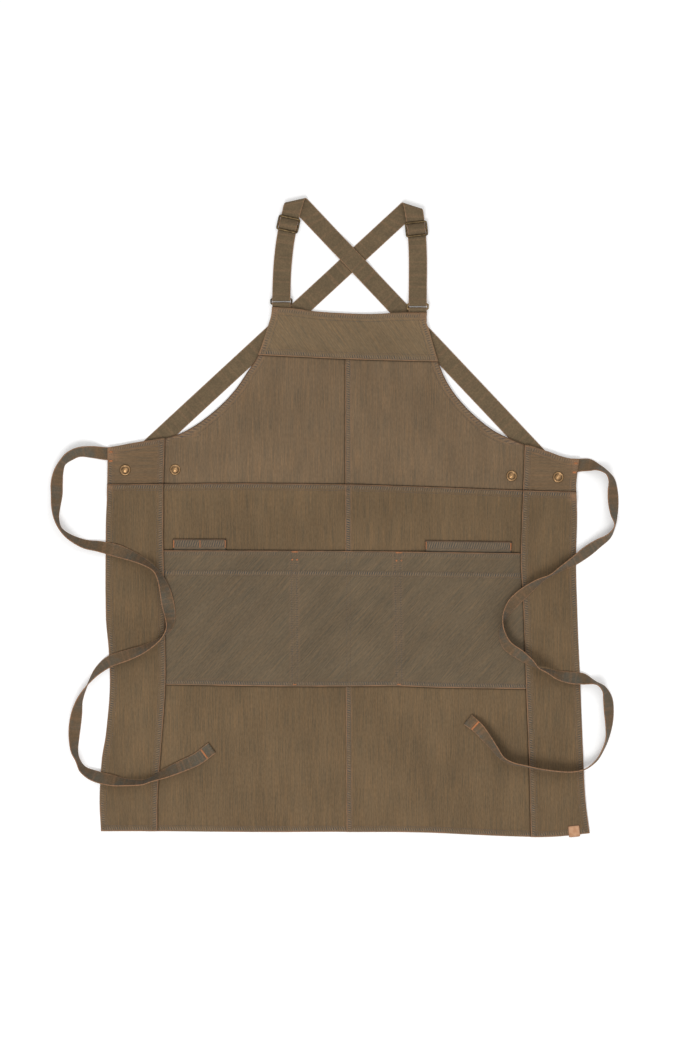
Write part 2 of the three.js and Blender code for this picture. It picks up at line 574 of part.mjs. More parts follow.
function strapGeometry(side) {
  const strap = STRAPS[side];
  const other = STRAPS[side === 'left' ? 'right' : 'left'];
  const { upward, axis, beyond, rollRun, start } = shoulderFold(strap);
  const { placeAt, sideAt } = frontRun(strap);
  const topHeight = STRAP_THICKNESS / 2 + 2 * FOLD_RADIUS;
  const barReach = SLIDER_BAR * 1.5 + SLIDER_WINDOW;
  const low = STRAP_THICKNESS / 2;
  const under = SLIDER_HEIGHT - SLIDER_THICKNESS / 2 - GAP - STRAP_THICKNESS / 2;
  const over = SLIDER_HEIGHT + SLIDER_THICKNESS / 2 + GAP + STRAP_THICKNESS / 2;
  const innerEdge = SLIDER_BAR / 2 + SLIDER_WINDOW;
  const points = [];
  const sides = [];
  const add = (run, height) => {
    const plan = placeAt(run);
    points.push(new THREE.Vector3(plan.x, plan.y, height));
    sides.push(sideAt(run));
  };
  // Lower layer, from under the slider's centre bar down to the ring
  add(SLIDER_REACH + SLIDER_BAR / 2, under);
  add(SLIDER_REACH - SLIDER_BAR / 2, under);
  add(SLIDER_REACH - innerEdge, low);
  for (const share of [0.7, 0.4, 0.12]) add(SLIDER_REACH * share, low);
  // Round the ring's upper bar
  const turnSide = sideAt(0);
  for (let i = 0; i <= TURN_STEPS; i += 1) {
    const angle = -Math.PI / 2 - Math.PI * i / TURN_STEPS;
    points.push(new THREE.Vector3(
      strap.ringBar.x,
      strap.ringBar.y + STRAP_TURN * Math.cos(angle),
      RING_HEIGHT + STRAP_TURN * Math.sin(angle),
    ));
    sides.push(turnSide);
  }
  // Upper layer, up through the slider
  for (const share of [0.22, 0.45, 0.7]) add(SLIDER_REACH * share, under);
  add(SLIDER_REACH - barReach, under);
  add(SLIDER_REACH - innerEdge + GAP, under);
  add(SLIDER_REACH - SLIDER_BAR / 2 - GAP, over);
  add(SLIDER_REACH + SLIDER_BAR / 2 + GAP, over);
  add(SLIDER_REACH + innerEdge - GAP, under);
  add(SLIDER_REACH + barReach, under);
  const stations = stationsAlong(points, sides, STRAP_WIDTH);

  // The shoulder fold: the flat strip rolled half a turn about the crease, with its stations along
  // the crease, so that the fold is straight from edge to edge
  const inSide = new THREE.Vector3(upward.y, -upward.x, 0);
  const creaseSkew = inSide.dot(beyond) / upward.dot(beyond) * STRAP_WIDTH / 2;
  const rolled = (run, sideways) => {
    const offset = upward.clone().multiplyScalar(run).addScaledVector(inSide, sideways);
    const depth = offset.dot(beyond);
    const turn = Math.min(Math.max(depth / FOLD_RADIUS, 0), Math.PI);
    const straight = depth < 0 ? depth : -Math.max(depth - Math.PI * FOLD_RADIUS, 0);
    const point = start.clone().addScaledVector(axis, offset.dot(axis))
      .addScaledVector(beyond, straight + FOLD_RADIUS * Math.sin(turn));
    point.z = topHeight - FOLD_RADIUS + FOLD_RADIUS * Math.cos(turn);
    const out = beyond.clone().multiplyScalar(Math.sin(turn));
    out.z = Math.cos(turn);
    return { point, out };
  };
  const addRolled = (run, lift, skew) => {
    const left = rolled(run + skew, -STRAP_WIDTH / 2);
    const right = rolled(run - skew, STRAP_WIDTH / 2);
    left.point.z += lift;
    right.point.z += lift;
    stations.push({ left: left.point, right: right.point, leftOut: left.out, rightOut: right.out });
  };
  for (let i = 0; i <= ROLL_STEPS; i += 1) addRolled(rollRun * i / ROLL_STEPS, 0, creaseSkew);

  // The back run to the far snap
  const endRun = Math.hypot(strap.snap[0] - strap.exit.x, strap.snap[1] - strap.exit.y);
  const crossRun = crossingRun(strap, other);
  const profile = [];
  const overRun = STRAP_WIDTH / 2 + CROSSING_CLEARANCE;
  const crossLift = STRAP_THICKNESS + TURN_GAP;
  if (strap.overCrossing) {
    profile.push([crossRun - overRun - RISE_LENGTH, 0], [crossRun - overRun, crossLift]);
    profile.push([crossRun + overRun, crossLift], [crossRun + overRun + RISE_LENGTH, 0]);
  } else {
    profile.push([crossRun - overRun, 0], [crossRun + overRun, 0]);
  }
  const clearRun = crossRun + overRun + RISE_LENGTH;
  for (const share of [0.4, 0.7]) profile.push([mix(clearRun, endRun, share), 0]);
  profile.push([endRun - SNAP_RADIUS - 1.4 * RISE_LENGTH, 0]);
  profile.push([endRun - SNAP_RADIUS - RISE_LENGTH / 4, SNAP_STRAP_BASE]);
  profile.push([endRun + STRAP_END, SNAP_STRAP_BASE]);
  for (const [run, lift] of profile) addRolled(rollRun + run, lift, 0);
  return withHoles(stripGeometry(stations, STRAP_THICKNESS), [strap.snap]);
}

// The cloth tab: two legs under the yoke and a turn round the ring's lower bar
const TAB_NECK = 1.9;
const TAB_OPENING = degrees(126);
function tabGeometry(side) {
  const bar = STRAPS[side].tabBar;
  const profile = [];
  const legEnd = -RING_STAND_OFF - TAB_DEPTH;
  const neck = -TAB_TURN * TAB_NECK;
  profile.push([legEnd, TAB_LEG_LOW - RING_HEIGHT], [neck, TAB_LEG_LOW - RING_HEIGHT]);
  for (let i = 0; i <= TURN_STEPS; i += 1) {
    const angle = mix(-TAB_OPENING, TAB_OPENING, i / TURN_STEPS);
    profile.push([TAB_TURN * Math.cos(angle), TAB_TURN * Math.sin(angle)]);
  }
  profile.push([neck, TAB_LEG_HIGH - RING_HEIGHT], [legEnd, TAB_LEG_HIGH - RING_HEIGHT]);
  const points = profile.map(([along, up]) => new THREE.Vector3(bar.x, bar.y + along, RING_HEIGHT + up));
  const sides = points.map(() => new THREE.Vector3(1, 0, 0));
  return stripGeometry(stationsAlong(points, sides, STRAP_WIDTH), TAB_CLOTH);
}

// A rectangle with rounded corners, as a shape or as a hole
function roundedRectangle(Kind, width, height, radius, offsetY) {
  const path = new Kind();
  const x = width / 2;
  const y = height / 2;
  path.moveTo(-x + radius, offsetY - y);
  path.lineTo(x - radius, offsetY - y);
  path.absarc(x - radius, offsetY - y + radius, radius, -Math.PI / 2, 0, false);
  path.absarc(x - radius, offsetY + y - radius, radius, 0, Math.PI / 2, false);
  path.absarc(-x + radius, offsetY + y - radius, radius, Math.PI / 2, Math.PI, false);
  path.absarc(-x + radius, offsetY - y + radius, radius, Math.PI, 1.5 * Math.PI, false);
  return path;
}

const INNER_WIDTH = STRAP_WIDTH + 2 * SIDE_PLAY;
function ringGeometry(side) {
  const strap = STRAPS[side];
  const rim = 2 * (WIRE - WIRE_CHAMFER);
  const shape = roundedRectangle(THREE.Shape, INNER_WIDTH + rim, RING_WINDOW + rim, RING_CORNER, 0);
  shape.holes.push(roundedRectangle(
    THREE.Path, INNER_WIDTH + 2 * WIRE_CHAMFER, RING_WINDOW + 2 * WIRE_CHAMFER, RING_WINDOW_CORNER, 0,
  ));
  const geometry = new THREE.ExtrudeGeometry(shape, {
    depth: WIRE - 2 * WIRE_CHAMFER,
    curveSegments: 2,
    bevelEnabled: true,
    bevelSegments: 1,
    bevelSize: WIRE_CHAMFER,
    bevelThickness: WIRE_CHAMFER,
  });
  const middleY = (strap.ringBar.y + strap.tabBar.y) / 2;
  geometry.translate(strap.ringBar.x, middleY, RING_HEIGHT - WIRE / 2 + WIRE_CHAMFER);
  return geometry;
}

function sliderGeometry(side) {
  const shape = roundedRectangle(
    THREE.Shape, INNER_WIDTH + 2 * SLIDER_SIDE_BAR, 3 * SLIDER_BAR + 2 * SLIDER_WINDOW, SLIDER_CORNER, 0,
  );
  for (const sign of [-1, 1]) {
    const offset = sign * (SLIDER_BAR + SLIDER_WINDOW) / 2;
    shape.holes.push(roundedRectangle(
      THREE.Path, INNER_WIDTH, SLIDER_WINDOW, SLIDER_WINDOW_CORNER, offset,
    ));
  }
  const geometry = new THREE.ExtrudeGeometry(shape, {
    depth: SLIDER_THICKNESS, curveSegments: 3, bevelEnabled: false,
  });
  const { placeAt, sideAt } = frontRun(STRAPS[side]);
  const seat = placeAt(SLIDER_REACH);
  const sideways = sideAt(SLIDER_REACH);
  geometry.translate(0, 0, SLIDER_HEIGHT - SLIDER_THICKNESS / 2);
  geometry.rotateZ(Math.atan2(sideways.y, sideways.x));
  geometry.translate(seat.x, seat.y, 0);
  return geometry;
}

// A snap: flange below the cloth, post through its hole, and a ring cap with a raised centre on top
// The cap's outline has rows of [share of the cap's radius, share of its rise].
const SNAP_CAP = [
  [1, 0], [1, 0.32], [0.88, 0.68], [0.62, 0.68], [0.5, 0.36], [0.36, 0.36], [0.25, 0.88], [0, 1],
];
const SNAP_SIDES = 12;
function snapGeometry(name, layersBelow) {
  const [x, y] = snapPlaces[name];
  const capSeat = snapSeats[name] + GAP;
  const flangeTop = snapSeats[name] - CLOTH - GAP - layersBelow;
  const flangeBottom = flangeTop - SNAP_FLANGE;
  const outline = [
    [0, flangeBottom], [SNAP_FLANGE_RADIUS, flangeBottom], [SNAP_FLANGE_RADIUS, flangeTop],
    [SNAP_POST_RADIUS, flangeTop], [SNAP_POST_RADIUS, capSeat],
  ];
  for (const [radius, rise] of SNAP_CAP) {
    outline.push([radius * SNAP_RADIUS, capSeat + rise * SNAP_CAP_RISE]);
  }
  const profile = outline.map(([radius, height]) => new THREE.Vector2(radius, height));
  const geometry = new THREE.LatheGeometry(profile, SNAP_SIDES);
  geometry.rotateX(Math.PI / 2);
  geometry.translate(x, y, 0);
  return geometry;
}

// The bare leather patch at the hem's right corner
const PATCH_ANGLE = degrees(5);
const PATCH_EDGE_INSET = 24;
const PATCH_OVERHANG = 3;
const PATCH_HALF_DIAGONAL = 0.72;
function patchGeometry() {
  const x = rightEdge(WAIST_Y - SKIRT_LENGTH) - PATCH_EDGE_INSET;
  const y = hem(x) + PATCH_SIZE / 2 - PATCH_OVERHANG;
  const reach = PATCH_SIZE * PATCH_HALF_DIAGONAL;
  let seat = 0;
  for (const dx of [-reach, 0, reach]) {
    for (const dy of [-reach, 0, reach]) seat = Math.max(seat, clothTop(x + dx, y + dy));
  }
  const geometry = new THREE.BoxGeometry(PATCH_SIZE, PATCH_SIZE, PATCH_THICKNESS);
  geometry.rotateZ(PATCH_ANGLE);
  geometry.translate(x, y, seat + GAP + PATCH_THICKNESS / 2);
  return geometry;
}

// Waist ties: [x, y, height of the lower edge, tilt in degrees about the ribbon's own line].
// Each starts under the body's upper corner. A tilt over 90 leans over to the other side.
const TIE_LEFT = [
  [-357, 99, 0.6, 2], [-373, 100, 0.6, 2], [-391, 102, 0.4, 25], [-411, 102, 0.2, 45],
  [-425, 96, 0.2, 50], [-437, 85, 0.2, 65], [-443, 71, 0.2, 50], [-446, 54, 0.2, 30],
  [-446, 36, 0.2, 35], [-447, 17, 0.2, 55], [-446, 0, 0.2, 75], [-440, -16, 0.2, 85],
  [-426, -29, 0.2, 70], [-403, -40, 0.4, 50], [-380, -44, 2, 35], [-352, -51, 2.6, 15],
  [-332, -58, 2.6, 40], [-312, -67, 3.4, 60], [-294, -79, 6.2, 75], [-285, -92, 6.2, 65],
  [-278, -112, 6.2, 40], [-274, -132, 6.2, 15], [-270, -152, 6.2, 40], [-271, -169, 6.2, 65],
  [-279, -181, 6.2, 88], [-291, -191, 6.2, 105], [-312, -203, 4.6, 125], [-336, -212, 3.2, 145],
  [-364, -222, 2.4, 150], [-383, -237, 0.8, 125], [-395, -253, 0.2, 100], [-405, -270, 0.2, 80],
  [-411, -284, 0.2, 65], [-415, -302, 0.2, 40], [-418, -322, 0.2, 30], [-419, -341, 0.2, 45],
  [-418, -360, 0.2, 65], [-413, -374, 0.6, 80], [-405, -388, 2, 65], [-388, -398, 4.2, 40],
  [-361, -405, 4.6, 40], [-338, -408, 4.6, 65], [-313, -408, 4.6, 75], [-298, -403, 4.8, 75],
  [-277, -394, 4.8, 50], [-251, -383, 3.4, 30], [-229, -373, 2.6, 15], [-206, -356, 2.4, 0],
];
const TIE_RIGHT = [
  [351, 80, 0.6, 2], [366, 82, 0.6, 2], [379, 82, 0.3, 20], [390, 79, 0.2, 55],
  [404, 71, 0.2, 70], [412, 59, 0.2, 55], [414, 43, 0.2, 35], [415, 25, 0.2, 30],
  [416, 6, 0.2, 50], [417, -12, 0.2, 80], [408, -28, 0.2, 65], [392, -39, 0.2, 45],
  [374, -52, 1.2, 30], [353, -67, 2.4, 45], [333, -79, 2.4, 65], [316, -89, 4.2, 80],
  [298, -99, 6.2, 60], [277, -115, 6.2, 35], [259, -132, 6.2, 32], [248, -149, 5.2, 60],
  [243, -164, 5.2, 90], [243, -180, 5.2, 120], [251, -197, 5.6, 138], [270, -211, 6.2, 140],
  [287, -223, 6.2, 118], [298, -231, 6.2, 92], [312, -236, 4.6, 75], [329, -243, 2.6, 50],
  [349, -247, 2.4, 25], [369, -249, 1.6, 35], [388, -255, 0.3, 80], [400, -264, 0.2, 65],
  [406, -279, 0.2, 40], [408, -298, 0.2, 35], [408, -319, 0.2, 50], [405, -341, 0.4, 70],
  [398, -359, 0.8, 75], [388, -375, 1.6, 76], [370, -388, 4, 80], [349, -392, 4.4, 82],
  [326, -391, 4.6, 82], [302, -388, 4.8, 80], [279, -383, 4.8, 80], [259, -379, 4.4, 76],
  [243, -371, 3.4, 72], [231, -356, 2.6, 60], [217, -338, 2.4, 42], [205, -324, 2.4, 28],
  [190, -312, 2.4, 0],
];
function tieGeometry(rowsOfTie) {
  const points = [];
  const tilts = [];
  for (const [x, y, foot, tilt] of rowsOfTie) {
    const angle = degrees(tilt);
    const halfThick = TIE_THICKNESS / 2 * Math.abs(Math.cos(angle));
    const height = foot + TIE_WIDTH / 2 * Math.sin(angle) + halfThick;
    points.push(new THREE.Vector3(x, y, height));
    tilts.push(angle);
  }
  const sides = points.map((point, i) => {
    const ahead = points[Math.min(i + 1, points.length - 1)].clone().sub(points[Math.max(i - 1, 0)]);
    ahead.z = 0;
    ahead.normalize();
    const level = Math.cos(tilts[i]);
    return new THREE.Vector3(ahead.y * level, -ahead.x * level, Math.sin(tilts[i]));
  });
  return stripGeometry(stationsAlong(points, sides, TIE_WIDTH), TIE_THICKNESS);
}

// Materials, from the photo's washed twill, worn straps, antique brass and tan leather
const finish = (name, color, roughness, metalness) => (
  new THREE.MeshStandardMaterial({ name, color, roughness, metalness })
);
const cloth = (name, color) => finish(name, color, 0.92, 0);
const MATERIALS = {
  twill: cloth('twill', 0x73614a),
  upperTwill: cloth('upper twill', 0x6d5d46),
  pocketTwill: cloth('pocket twill', 0x6f6450),
  webbing: cloth('strap cloth', 0x6a5236),
  tie: cloth('tie cloth', 0x775a3c),
  brass: finish('antique brass', 0x7d6038, 0.42, 1),
  leather: finish('leather', 0xc08a64, 0.7, 0),
};

const apron = new THREE.Group();
apron.name = 'cross_back_apron';
function addPiece(name, geometry, material) {
  const piece = new THREE.Mesh(geometry, material);
  piece.name = name;
  apron.add(piece);
}

const POCKETS = ['big_pocket', 'pen_pocket', 'towel_pocket'];
for (const [name, geometry] of Object.entries(panels)) {
  const upper = name.startsWith('bib') || name.startsWith('upper');
  const plain = upper ? MATERIALS.upperTwill : MATERIALS.twill;
  addPiece(name, geometry, POCKETS.includes(name) ? MATERIALS.pocketTwill : plain);
}
for (const side of ['left', 'right']) {
  addPiece(`strap_${side}`, strapGeometry(side), MATERIALS.webbing);
  addPiece(`slider_${side}`, sliderGeometry(side), MATERIALS.brass);
  addPiece(`ring_${side}`, ringGeometry(side), MATERIALS.brass);
  addPiece(`tab_${side}`, tabGeometry(side), MATERIALS.upperTwill);
}
addPiece('tie_left', tieGeometry(TIE_LEFT), MATERIALS.tie);
addPiece('tie_right', tieGeometry(TIE_RIGHT), MATERIALS.tie);
const UNDER_OUTER_SNAP = STRAP_THICKNESS + GAP;
addPiece('snap_outer_left', snapGeometry('outerLeft', UNDER_OUTER_SNAP), MATERIALS.brass);
addPiece('snap_inner_left', snapGeometry('innerLeft', 0), MATERIALS.brass);
addPiece('snap_inner_right', snapGeometry('innerRight', 0), MATERIALS.brass);
addPiece('snap_outer_right', snapGeometry('outerRight', UNDER_OUTER_SNAP), MATERIALS.brass);
addPiece('hem_patch', patchGeometry(), MATERIALS.leather);

export default apron;
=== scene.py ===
# Cross back apron lying face up: the finish of every piece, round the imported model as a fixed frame.
# Pattern sizes are millimetres, as a maker would cut them, and meshes are written in metres.
import math

import bpy
import numpy as np
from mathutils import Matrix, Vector
from mathutils.bvhtree import BVHTree


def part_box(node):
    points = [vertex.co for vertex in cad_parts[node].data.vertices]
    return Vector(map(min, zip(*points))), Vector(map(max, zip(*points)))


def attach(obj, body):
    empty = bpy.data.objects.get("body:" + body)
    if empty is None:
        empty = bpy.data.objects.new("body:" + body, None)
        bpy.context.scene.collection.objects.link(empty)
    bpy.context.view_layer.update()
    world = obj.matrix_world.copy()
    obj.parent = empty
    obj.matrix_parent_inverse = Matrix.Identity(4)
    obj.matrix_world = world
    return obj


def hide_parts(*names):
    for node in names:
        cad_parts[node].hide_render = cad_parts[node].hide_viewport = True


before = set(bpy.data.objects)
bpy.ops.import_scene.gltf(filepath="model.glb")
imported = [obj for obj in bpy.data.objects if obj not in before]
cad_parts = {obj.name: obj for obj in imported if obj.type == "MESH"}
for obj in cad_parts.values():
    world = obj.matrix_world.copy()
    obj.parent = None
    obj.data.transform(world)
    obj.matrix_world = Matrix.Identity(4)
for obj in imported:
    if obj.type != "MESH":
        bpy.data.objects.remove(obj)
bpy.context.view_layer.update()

MM = 0.001

# Body sizes
HEM_WIDTH = 760
FRONT_WIDTH = 557
BIB_TOP_WIDTH = 240
BIB_TOP_CENTRE = 7
BIB_HEIGHT = 265
SKIRT_LENGTH = 538
HEM_DROOP = 8
ARMPIT_RISE = 71
YOKE_DEPTH = 71
SEAM_LAP = 12
CENTRE_LAP = 8.5

# Pocket sizes
POCKET_DROP = 102
POCKET_HEIGHT = 208
WELT_SHOW = 18
PATCH_DEPTH = 96

# Strap, tab and tie sizes
STRAP_WIDTH = 28
STRAP_THICKNESS = 1.6
SHOULDER_RISE = 177
FOLD_RADIUS = 4
TAB_CLOTH = 1
TAB_DEPTH = 18
TAB_INSET = 0.5
TIE_WIDTH = 20
TIE_THICKNESS = 1.5

# Hardware sizes
WIRE = 2.8
WIRE_CHAMFER = 0.8
RING_WINDOW = 4.8
RING_STAND_OFF = 5.6
SLIDER_BAR = 2.6
SLIDER_WINDOW = 7.8
SLIDER_THICKNESS = 2
SLIDER_SIDE_BAR = 2.4
SLIDER_REACH = 116
SNAP_RADIUS = 8.5
SNAP_FLANGE = 1.2
STRAP_END = 15
RISE_LENGTH = 25

# Cloth and clearances
CLOTH = 1
GAP = 0.3
SIDE_PLAY = 0.6
TURN_GAP = 0.5

# Heights that follow from the layers
STRAP_STACK = STRAP_THICKNESS + GAP
SNAP_STRAP_BASE = SNAP_FLANGE + GAP
SNAP_STACK = SNAP_STRAP_BASE + STRAP_THICKNESS + GAP
WIRE_REACH = math.hypot(WIRE / 2, WIRE / 2 - WIRE_CHAMFER)
STRAP_TURN = WIRE_REACH + GAP + STRAP_THICKNESS / 2
TAB_TURN = WIRE_REACH + GAP + TAB_CLOTH / 2
RING_HEIGHT = STRAP_STACK + TAB_TURN + TAB_CLOTH / 2
TAB_LEG_LOW = STRAP_STACK + TAB_CLOTH / 2
TAB_LEG_HIGH = TAB_LEG_LOW + TAB_CLOTH + GAP
TAB_STACK = TAB_LEG_HIGH + TAB_CLOTH / 2 + GAP
LAYER_STEP = STRAP_THICKNESS + TURN_GAP
SLIDER_HEIGHT = STRAP_THICKNESS / 2 + LAYER_STEP + STRAP_THICKNESS / 2 + GAP + SLIDER_THICKNESS / 2

# Places that follow from the lengths
WAIST_Y = (SKIRT_LENGTH + HEM_DROOP - BIB_HEIGHT - SHOULDER_RISE) / 2
HALF_HEM = HEM_WIDTH / 2
HALF_FRONT = FRONT_WIDTH / 2
HALF_TOP = BIB_TOP_WIDTH / 2

# Finish sizes
STITCH_PITCH = 3.4
STITCH_LENGTH = 2.7
STITCH_RADIUS = 0.28
HEM_BAND = 12
ARMHOLE_BAND = 13
BOTTOM_BAND = 10


def mix(a, b, share):
    return a + (b - a) * share


def ease(t):
    t = np.clip(t, 0, 1)
    return t * t * (3 - 2 * t)


def smooth_line(rows):
    """A smooth line through the rows of a table: first column where, second the value there."""
    where = np.array([row[0] for row in rows], dtype=float)
    value = np.array([row[1] for row in rows], dtype=float)
    before = np.maximum(np.arange(len(rows)) - 1, 0)
    after = np.minimum(np.arange(len(rows)) + 1, len(rows) - 1)
    slope = (value[after] - value[before]) / (where[after] - where[before])

    def at(place):
        place = np.asarray(place, dtype=float)
        i = np.clip(np.searchsorted(where, place, side="right") - 1, 0, len(where) - 2)
        span = where[i + 1] - where[i]
        t = (place - where[i]) / span
        bend = t * (1 - t) * span * (slope[i] * (1 - t) - slope[i + 1] * t)
        inside = value[i] + (value[i + 1] - value[i]) * t * t * (3 - 2 * t) + bend
        low = value[0] + slope[0] * (place - where[0])
        high = value[-1] + slope[-1] * (place - where[-1])
        return np.where(place <= where[0], low, np.where(place >= where[-1], high, inside))

    return at


def up_share(y):
    above = np.asarray(y) - WAIST_Y
    return above / np.where(above > 0, BIB_HEIGHT, SKIRT_LENGTH)


# Lines that run up the body: [share up, share of half the width across]
left_edge_table = smooth_line([
    [-1, -0.995], [-0.91, -1], [-0.79, -0.991], [-0.72, -0.975], [-0.59, -0.959],
    [-0.48, -0.963], [-0.38, -0.975], [-0.12, -0.975], [0, -0.969], [0.215, -0.967],
])
right_edge_table = smooth_line([
    [-1, 0.997], [-0.9, 0.979], [-0.71, 0.967], [-0.57, 0.959], [-0.46, 0.952],
    [-0.345, 0.946], [-0.22, 0.942], [-0.086, 0.946], [0, 0.942], [0.149, 0.954],
])
left_seam_table = smooth_line([
    [-1, -1.044], [-0.886, -1.041], [-0.705, -1.015], [-0.578, -0.999], [-0.443, -1],
    [-0.147, -1.011], [0, -1.009], [0.27, -1.0015],
])
right_seam_table = smooth_line([
    [-1, 1.0336], [-0.794, 1.0234], [-0.584, 1.007], [-0.325, 0.989], [-0.227, 0.978],
    [-0.092, 0.985], [0, 0.991], [0.228, 0.999],
])
centre_table = smooth_line([[-1, 0.009], [-0.85, 0.0065], [-0.15, 0.002], [1, 0.002]])

# Lines that run across the body: [share of half the width across, share up]
yoke_top_table = smooth_line([
    [-0.298, 0.036], [-0.22, 0.029], [-0.118, 0.011], [0.004, 0], [0.106, -0.004], [0.216, 0.002],
    [0.334, 0.0035],
])
yoke_seam_table = smooth_line([
    [-0.36, 0.025], [-0.22, 0.015], [0.004, 0], [0.216, -0.009], [0.38, -0.014],
])
armpit_table = smooth_line([
    [-0.971, 0.803], [-0.923, 0.844], [-0.873, 0.897], [-0.798, 0.96], [-0.734, 1.006], [-0.5, 1],
    [0, 0.93], [0.5, 0.877], [0.732, 0.861], [0.825, 0.722], [0.877, 0.621], [0.918, 0.568],
    [0.955, 0.558],
])
waist_table = smooth_line([
    [-0.97, 0], [-0.755, 0.0014], [-0.428, 0.003], [0.004, 0], [0.347, -0.0072], [0.726, -0.0173],
    [0.942, -0.0213],
])
pocket_top_table = smooth_line([[-0.77, 0], [0.06, -0.0023], [0.72, -0.0087]])
pocket_bottom_table = smooth_line([
    [-0.73, 0], [-0.216, -0.0052], [0.224, -0.0046], [0.38, -0.0087], [0.735, -0.0127],
])
hem_table = smooth_line([
    [-0.995, 0.0012], [-0.755, 0.0012], [-0.41, -0.0006], [0.004, -0.0006], [0.318, -0.002],
    [0.522, -0.0083], [0.657, -0.0127], [0.836, -0.015], [0.995, -0.0046],
])

# Armholes: [share up from the armpit to the bib's corner, share across from side seam to corner]
left_armhole_table = smooth_line([
    [0, 0], [0.035, 0.14], [0.122, 0.327], [0.245, 0.514], [0.367, 0.654], [0.489, 0.757],
    [0.628, 0.866], [0.844, 0.958], [0.932, 0.991], [1, 1],
])
right_armhole_table = smooth_line([
    [0, 0], [0.05, 0.159], [0.111, 0.323], [0.232, 0.528], [0.353, 0.682], [0.475, 0.795],
    [0.611, 0.877], [0.743, 0.932], [0.87, 0.98], [0.93, 1.006], [1, 1],
])


def row_line(base, table, length):
    return lambda x: base + length * table(np.asarray(x) / HALF_HEM)


yoke_top = row_line(WAIST_Y + BIB_HEIGHT, yoke_top_table, BIB_HEIGHT)
yoke_seam = row_line(WAIST_Y + BIB_HEIGHT - YOKE_DEPTH, yoke_seam_table, BIB_HEIGHT)
armpit = row_line(WAIST_Y, armpit_table, ARMPIT_RISE)
waist = row_line(WAIST_Y, waist_table, SKIRT_LENGTH)
pocket_top = row_line(WAIST_Y - POCKET_DROP, pocket_top_table, SKIRT_LENGTH)
pocket_bottom = row_line(WAIST_Y - POCKET_DROP - POCKET_HEIGHT, pocket_bottom_table, SKIRT_LENGTH)
hem = row_line(WAIST_Y - SKIRT_LENGTH, hem_table, SKIRT_LENGTH)


def left_edge(y):
    return HALF_HEM * left_edge_table(up_share(y))


def right_edge(y):
    return HALF_HEM * right_edge_table(up_share(y))


def centre(y):
    return HALF_FRONT * centre_table(up_share(y))


def side_line(seam_table, armhole_table, corner_x):
    """A side seam up to the armpit and the armhole above it, as one line."""
    armpit_y = float(armpit(HALF_FRONT * seam_table(ARMPIT_RISE / BIB_HEIGHT)))
    armpit_x = float(HALF_FRONT * seam_table(up_share(armpit_y)))
    corner_y = float(yoke_top(corner_x))

    def line(y):
        y = np.asarray(y, dtype=float)
        seam = HALF_FRONT * seam_table(up_share(y))
        armhole = mix(armpit_x, corner_x, armhole_table((y - armpit_y) / (corner_y - armpit_y)))
        return np.where(y <= armpit_y, seam, armhole)

    return line, armpit_y


left_corner = BIB_TOP_CENTRE - HALF_TOP
right_corner = BIB_TOP_CENTRE + HALF_TOP
left_seam, left_armpit_y = side_line(left_seam_table, left_armhole_table, left_corner)
right_seam, right_armpit_y = side_line(right_seam_table, right_armhole_table, right_corner)


def between(a, b, share):
    return lambda where: mix(a(where), b(where), share)


def shifted(line, by):
    return lambda where: line(where) + by


# The pattern grid that every panel takes its cells from: columns left to right, rows top to bottom
columns = [
    left_edge,
    between(left_edge, left_seam, 0.36),
    shifted(left_seam, -2 * SEAM_LAP),
    shifted(left_seam, -SEAM_LAP),
    left_seam,
    between(left_seam, centre, 0.052),
    between(left_seam, centre, 0.346),
    between(left_seam, centre, 0.53),
    between(left_seam, centre, 0.717),
    between(left_seam, centre, 0.86),
    centre,
    shifted(centre, CENTRE_LAP),
    between(centre, right_seam, 0.297),
    between(centre, right_seam, 0.454),
    between(centre, right_seam, 0.62),
    between(centre, right_seam, 0.79),
    between(centre, right_seam, 0.947),
    right_seam,
    shifted(right_seam, SEAM_LAP),
    shifted(right_seam, 2 * SEAM_LAP),
    between(right_seam, right_edge, 0.64),
    right_edge,
]
rows = [
    yoke_top,
    shifted(yoke_top, -TAB_DEPTH - GAP),
    shifted(yoke_seam, SEAM_LAP),
    yoke_seam,
    between(yoke_seam, armpit, 0.3),
    between(yoke_seam, armpit, 0.55),
    between(yoke_seam, armpit, 0.76),
    between(yoke_seam, armpit, 0.91),
    armpit,
    between(armpit, waist, 0.5),
    waist,
    shifted(waist, -SEAM_LAP),
    shifted(waist, -2 * SEAM_LAP),
    between(waist, pocket_top, 0.55),
    shifted(pocket_top, WELT_SHOW),
    pocket_top,
    shifted(pocket_top, -SEAM_LAP),
    shifted(pocket_top, WELT_SHOW - PATCH_DEPTH),
    between(pocket_top, pocket_bottom, 0.7),
    pocket_bottom,
    shifted(pocket_bottom, -SEAM_LAP),
    between(pocket_bottom, hem, 0.35),
    between(pocket_bottom, hem, 0.65),
    shifted(hem, SEAM_LAP),
    hem,
]
LEFT_EDGE, LEFT_LAP, LEFT_SEAM, PEN_LEFT, PEN_RIGHT, CENTRE, CENTRE_END = 0, 3, 4, 5, 6, 10, 11
TOWEL_LEFT, TOWEL_RIGHT, RIGHT_SEAM, RIGHT_LAP, RIGHT_EDGE = 13, 16, 17, 18, 21
YOKE_TOP, YOKE_LAP, YOKE_SEAM, ARMPIT, WAIST, WAIST_LAP = 0, 2, 3, 8, 10, 11
WELT_TOP, POCKET_TOP, PATCH_END, POCKET_BOTTOM, HEM = 14, 15, 17, 19, 24

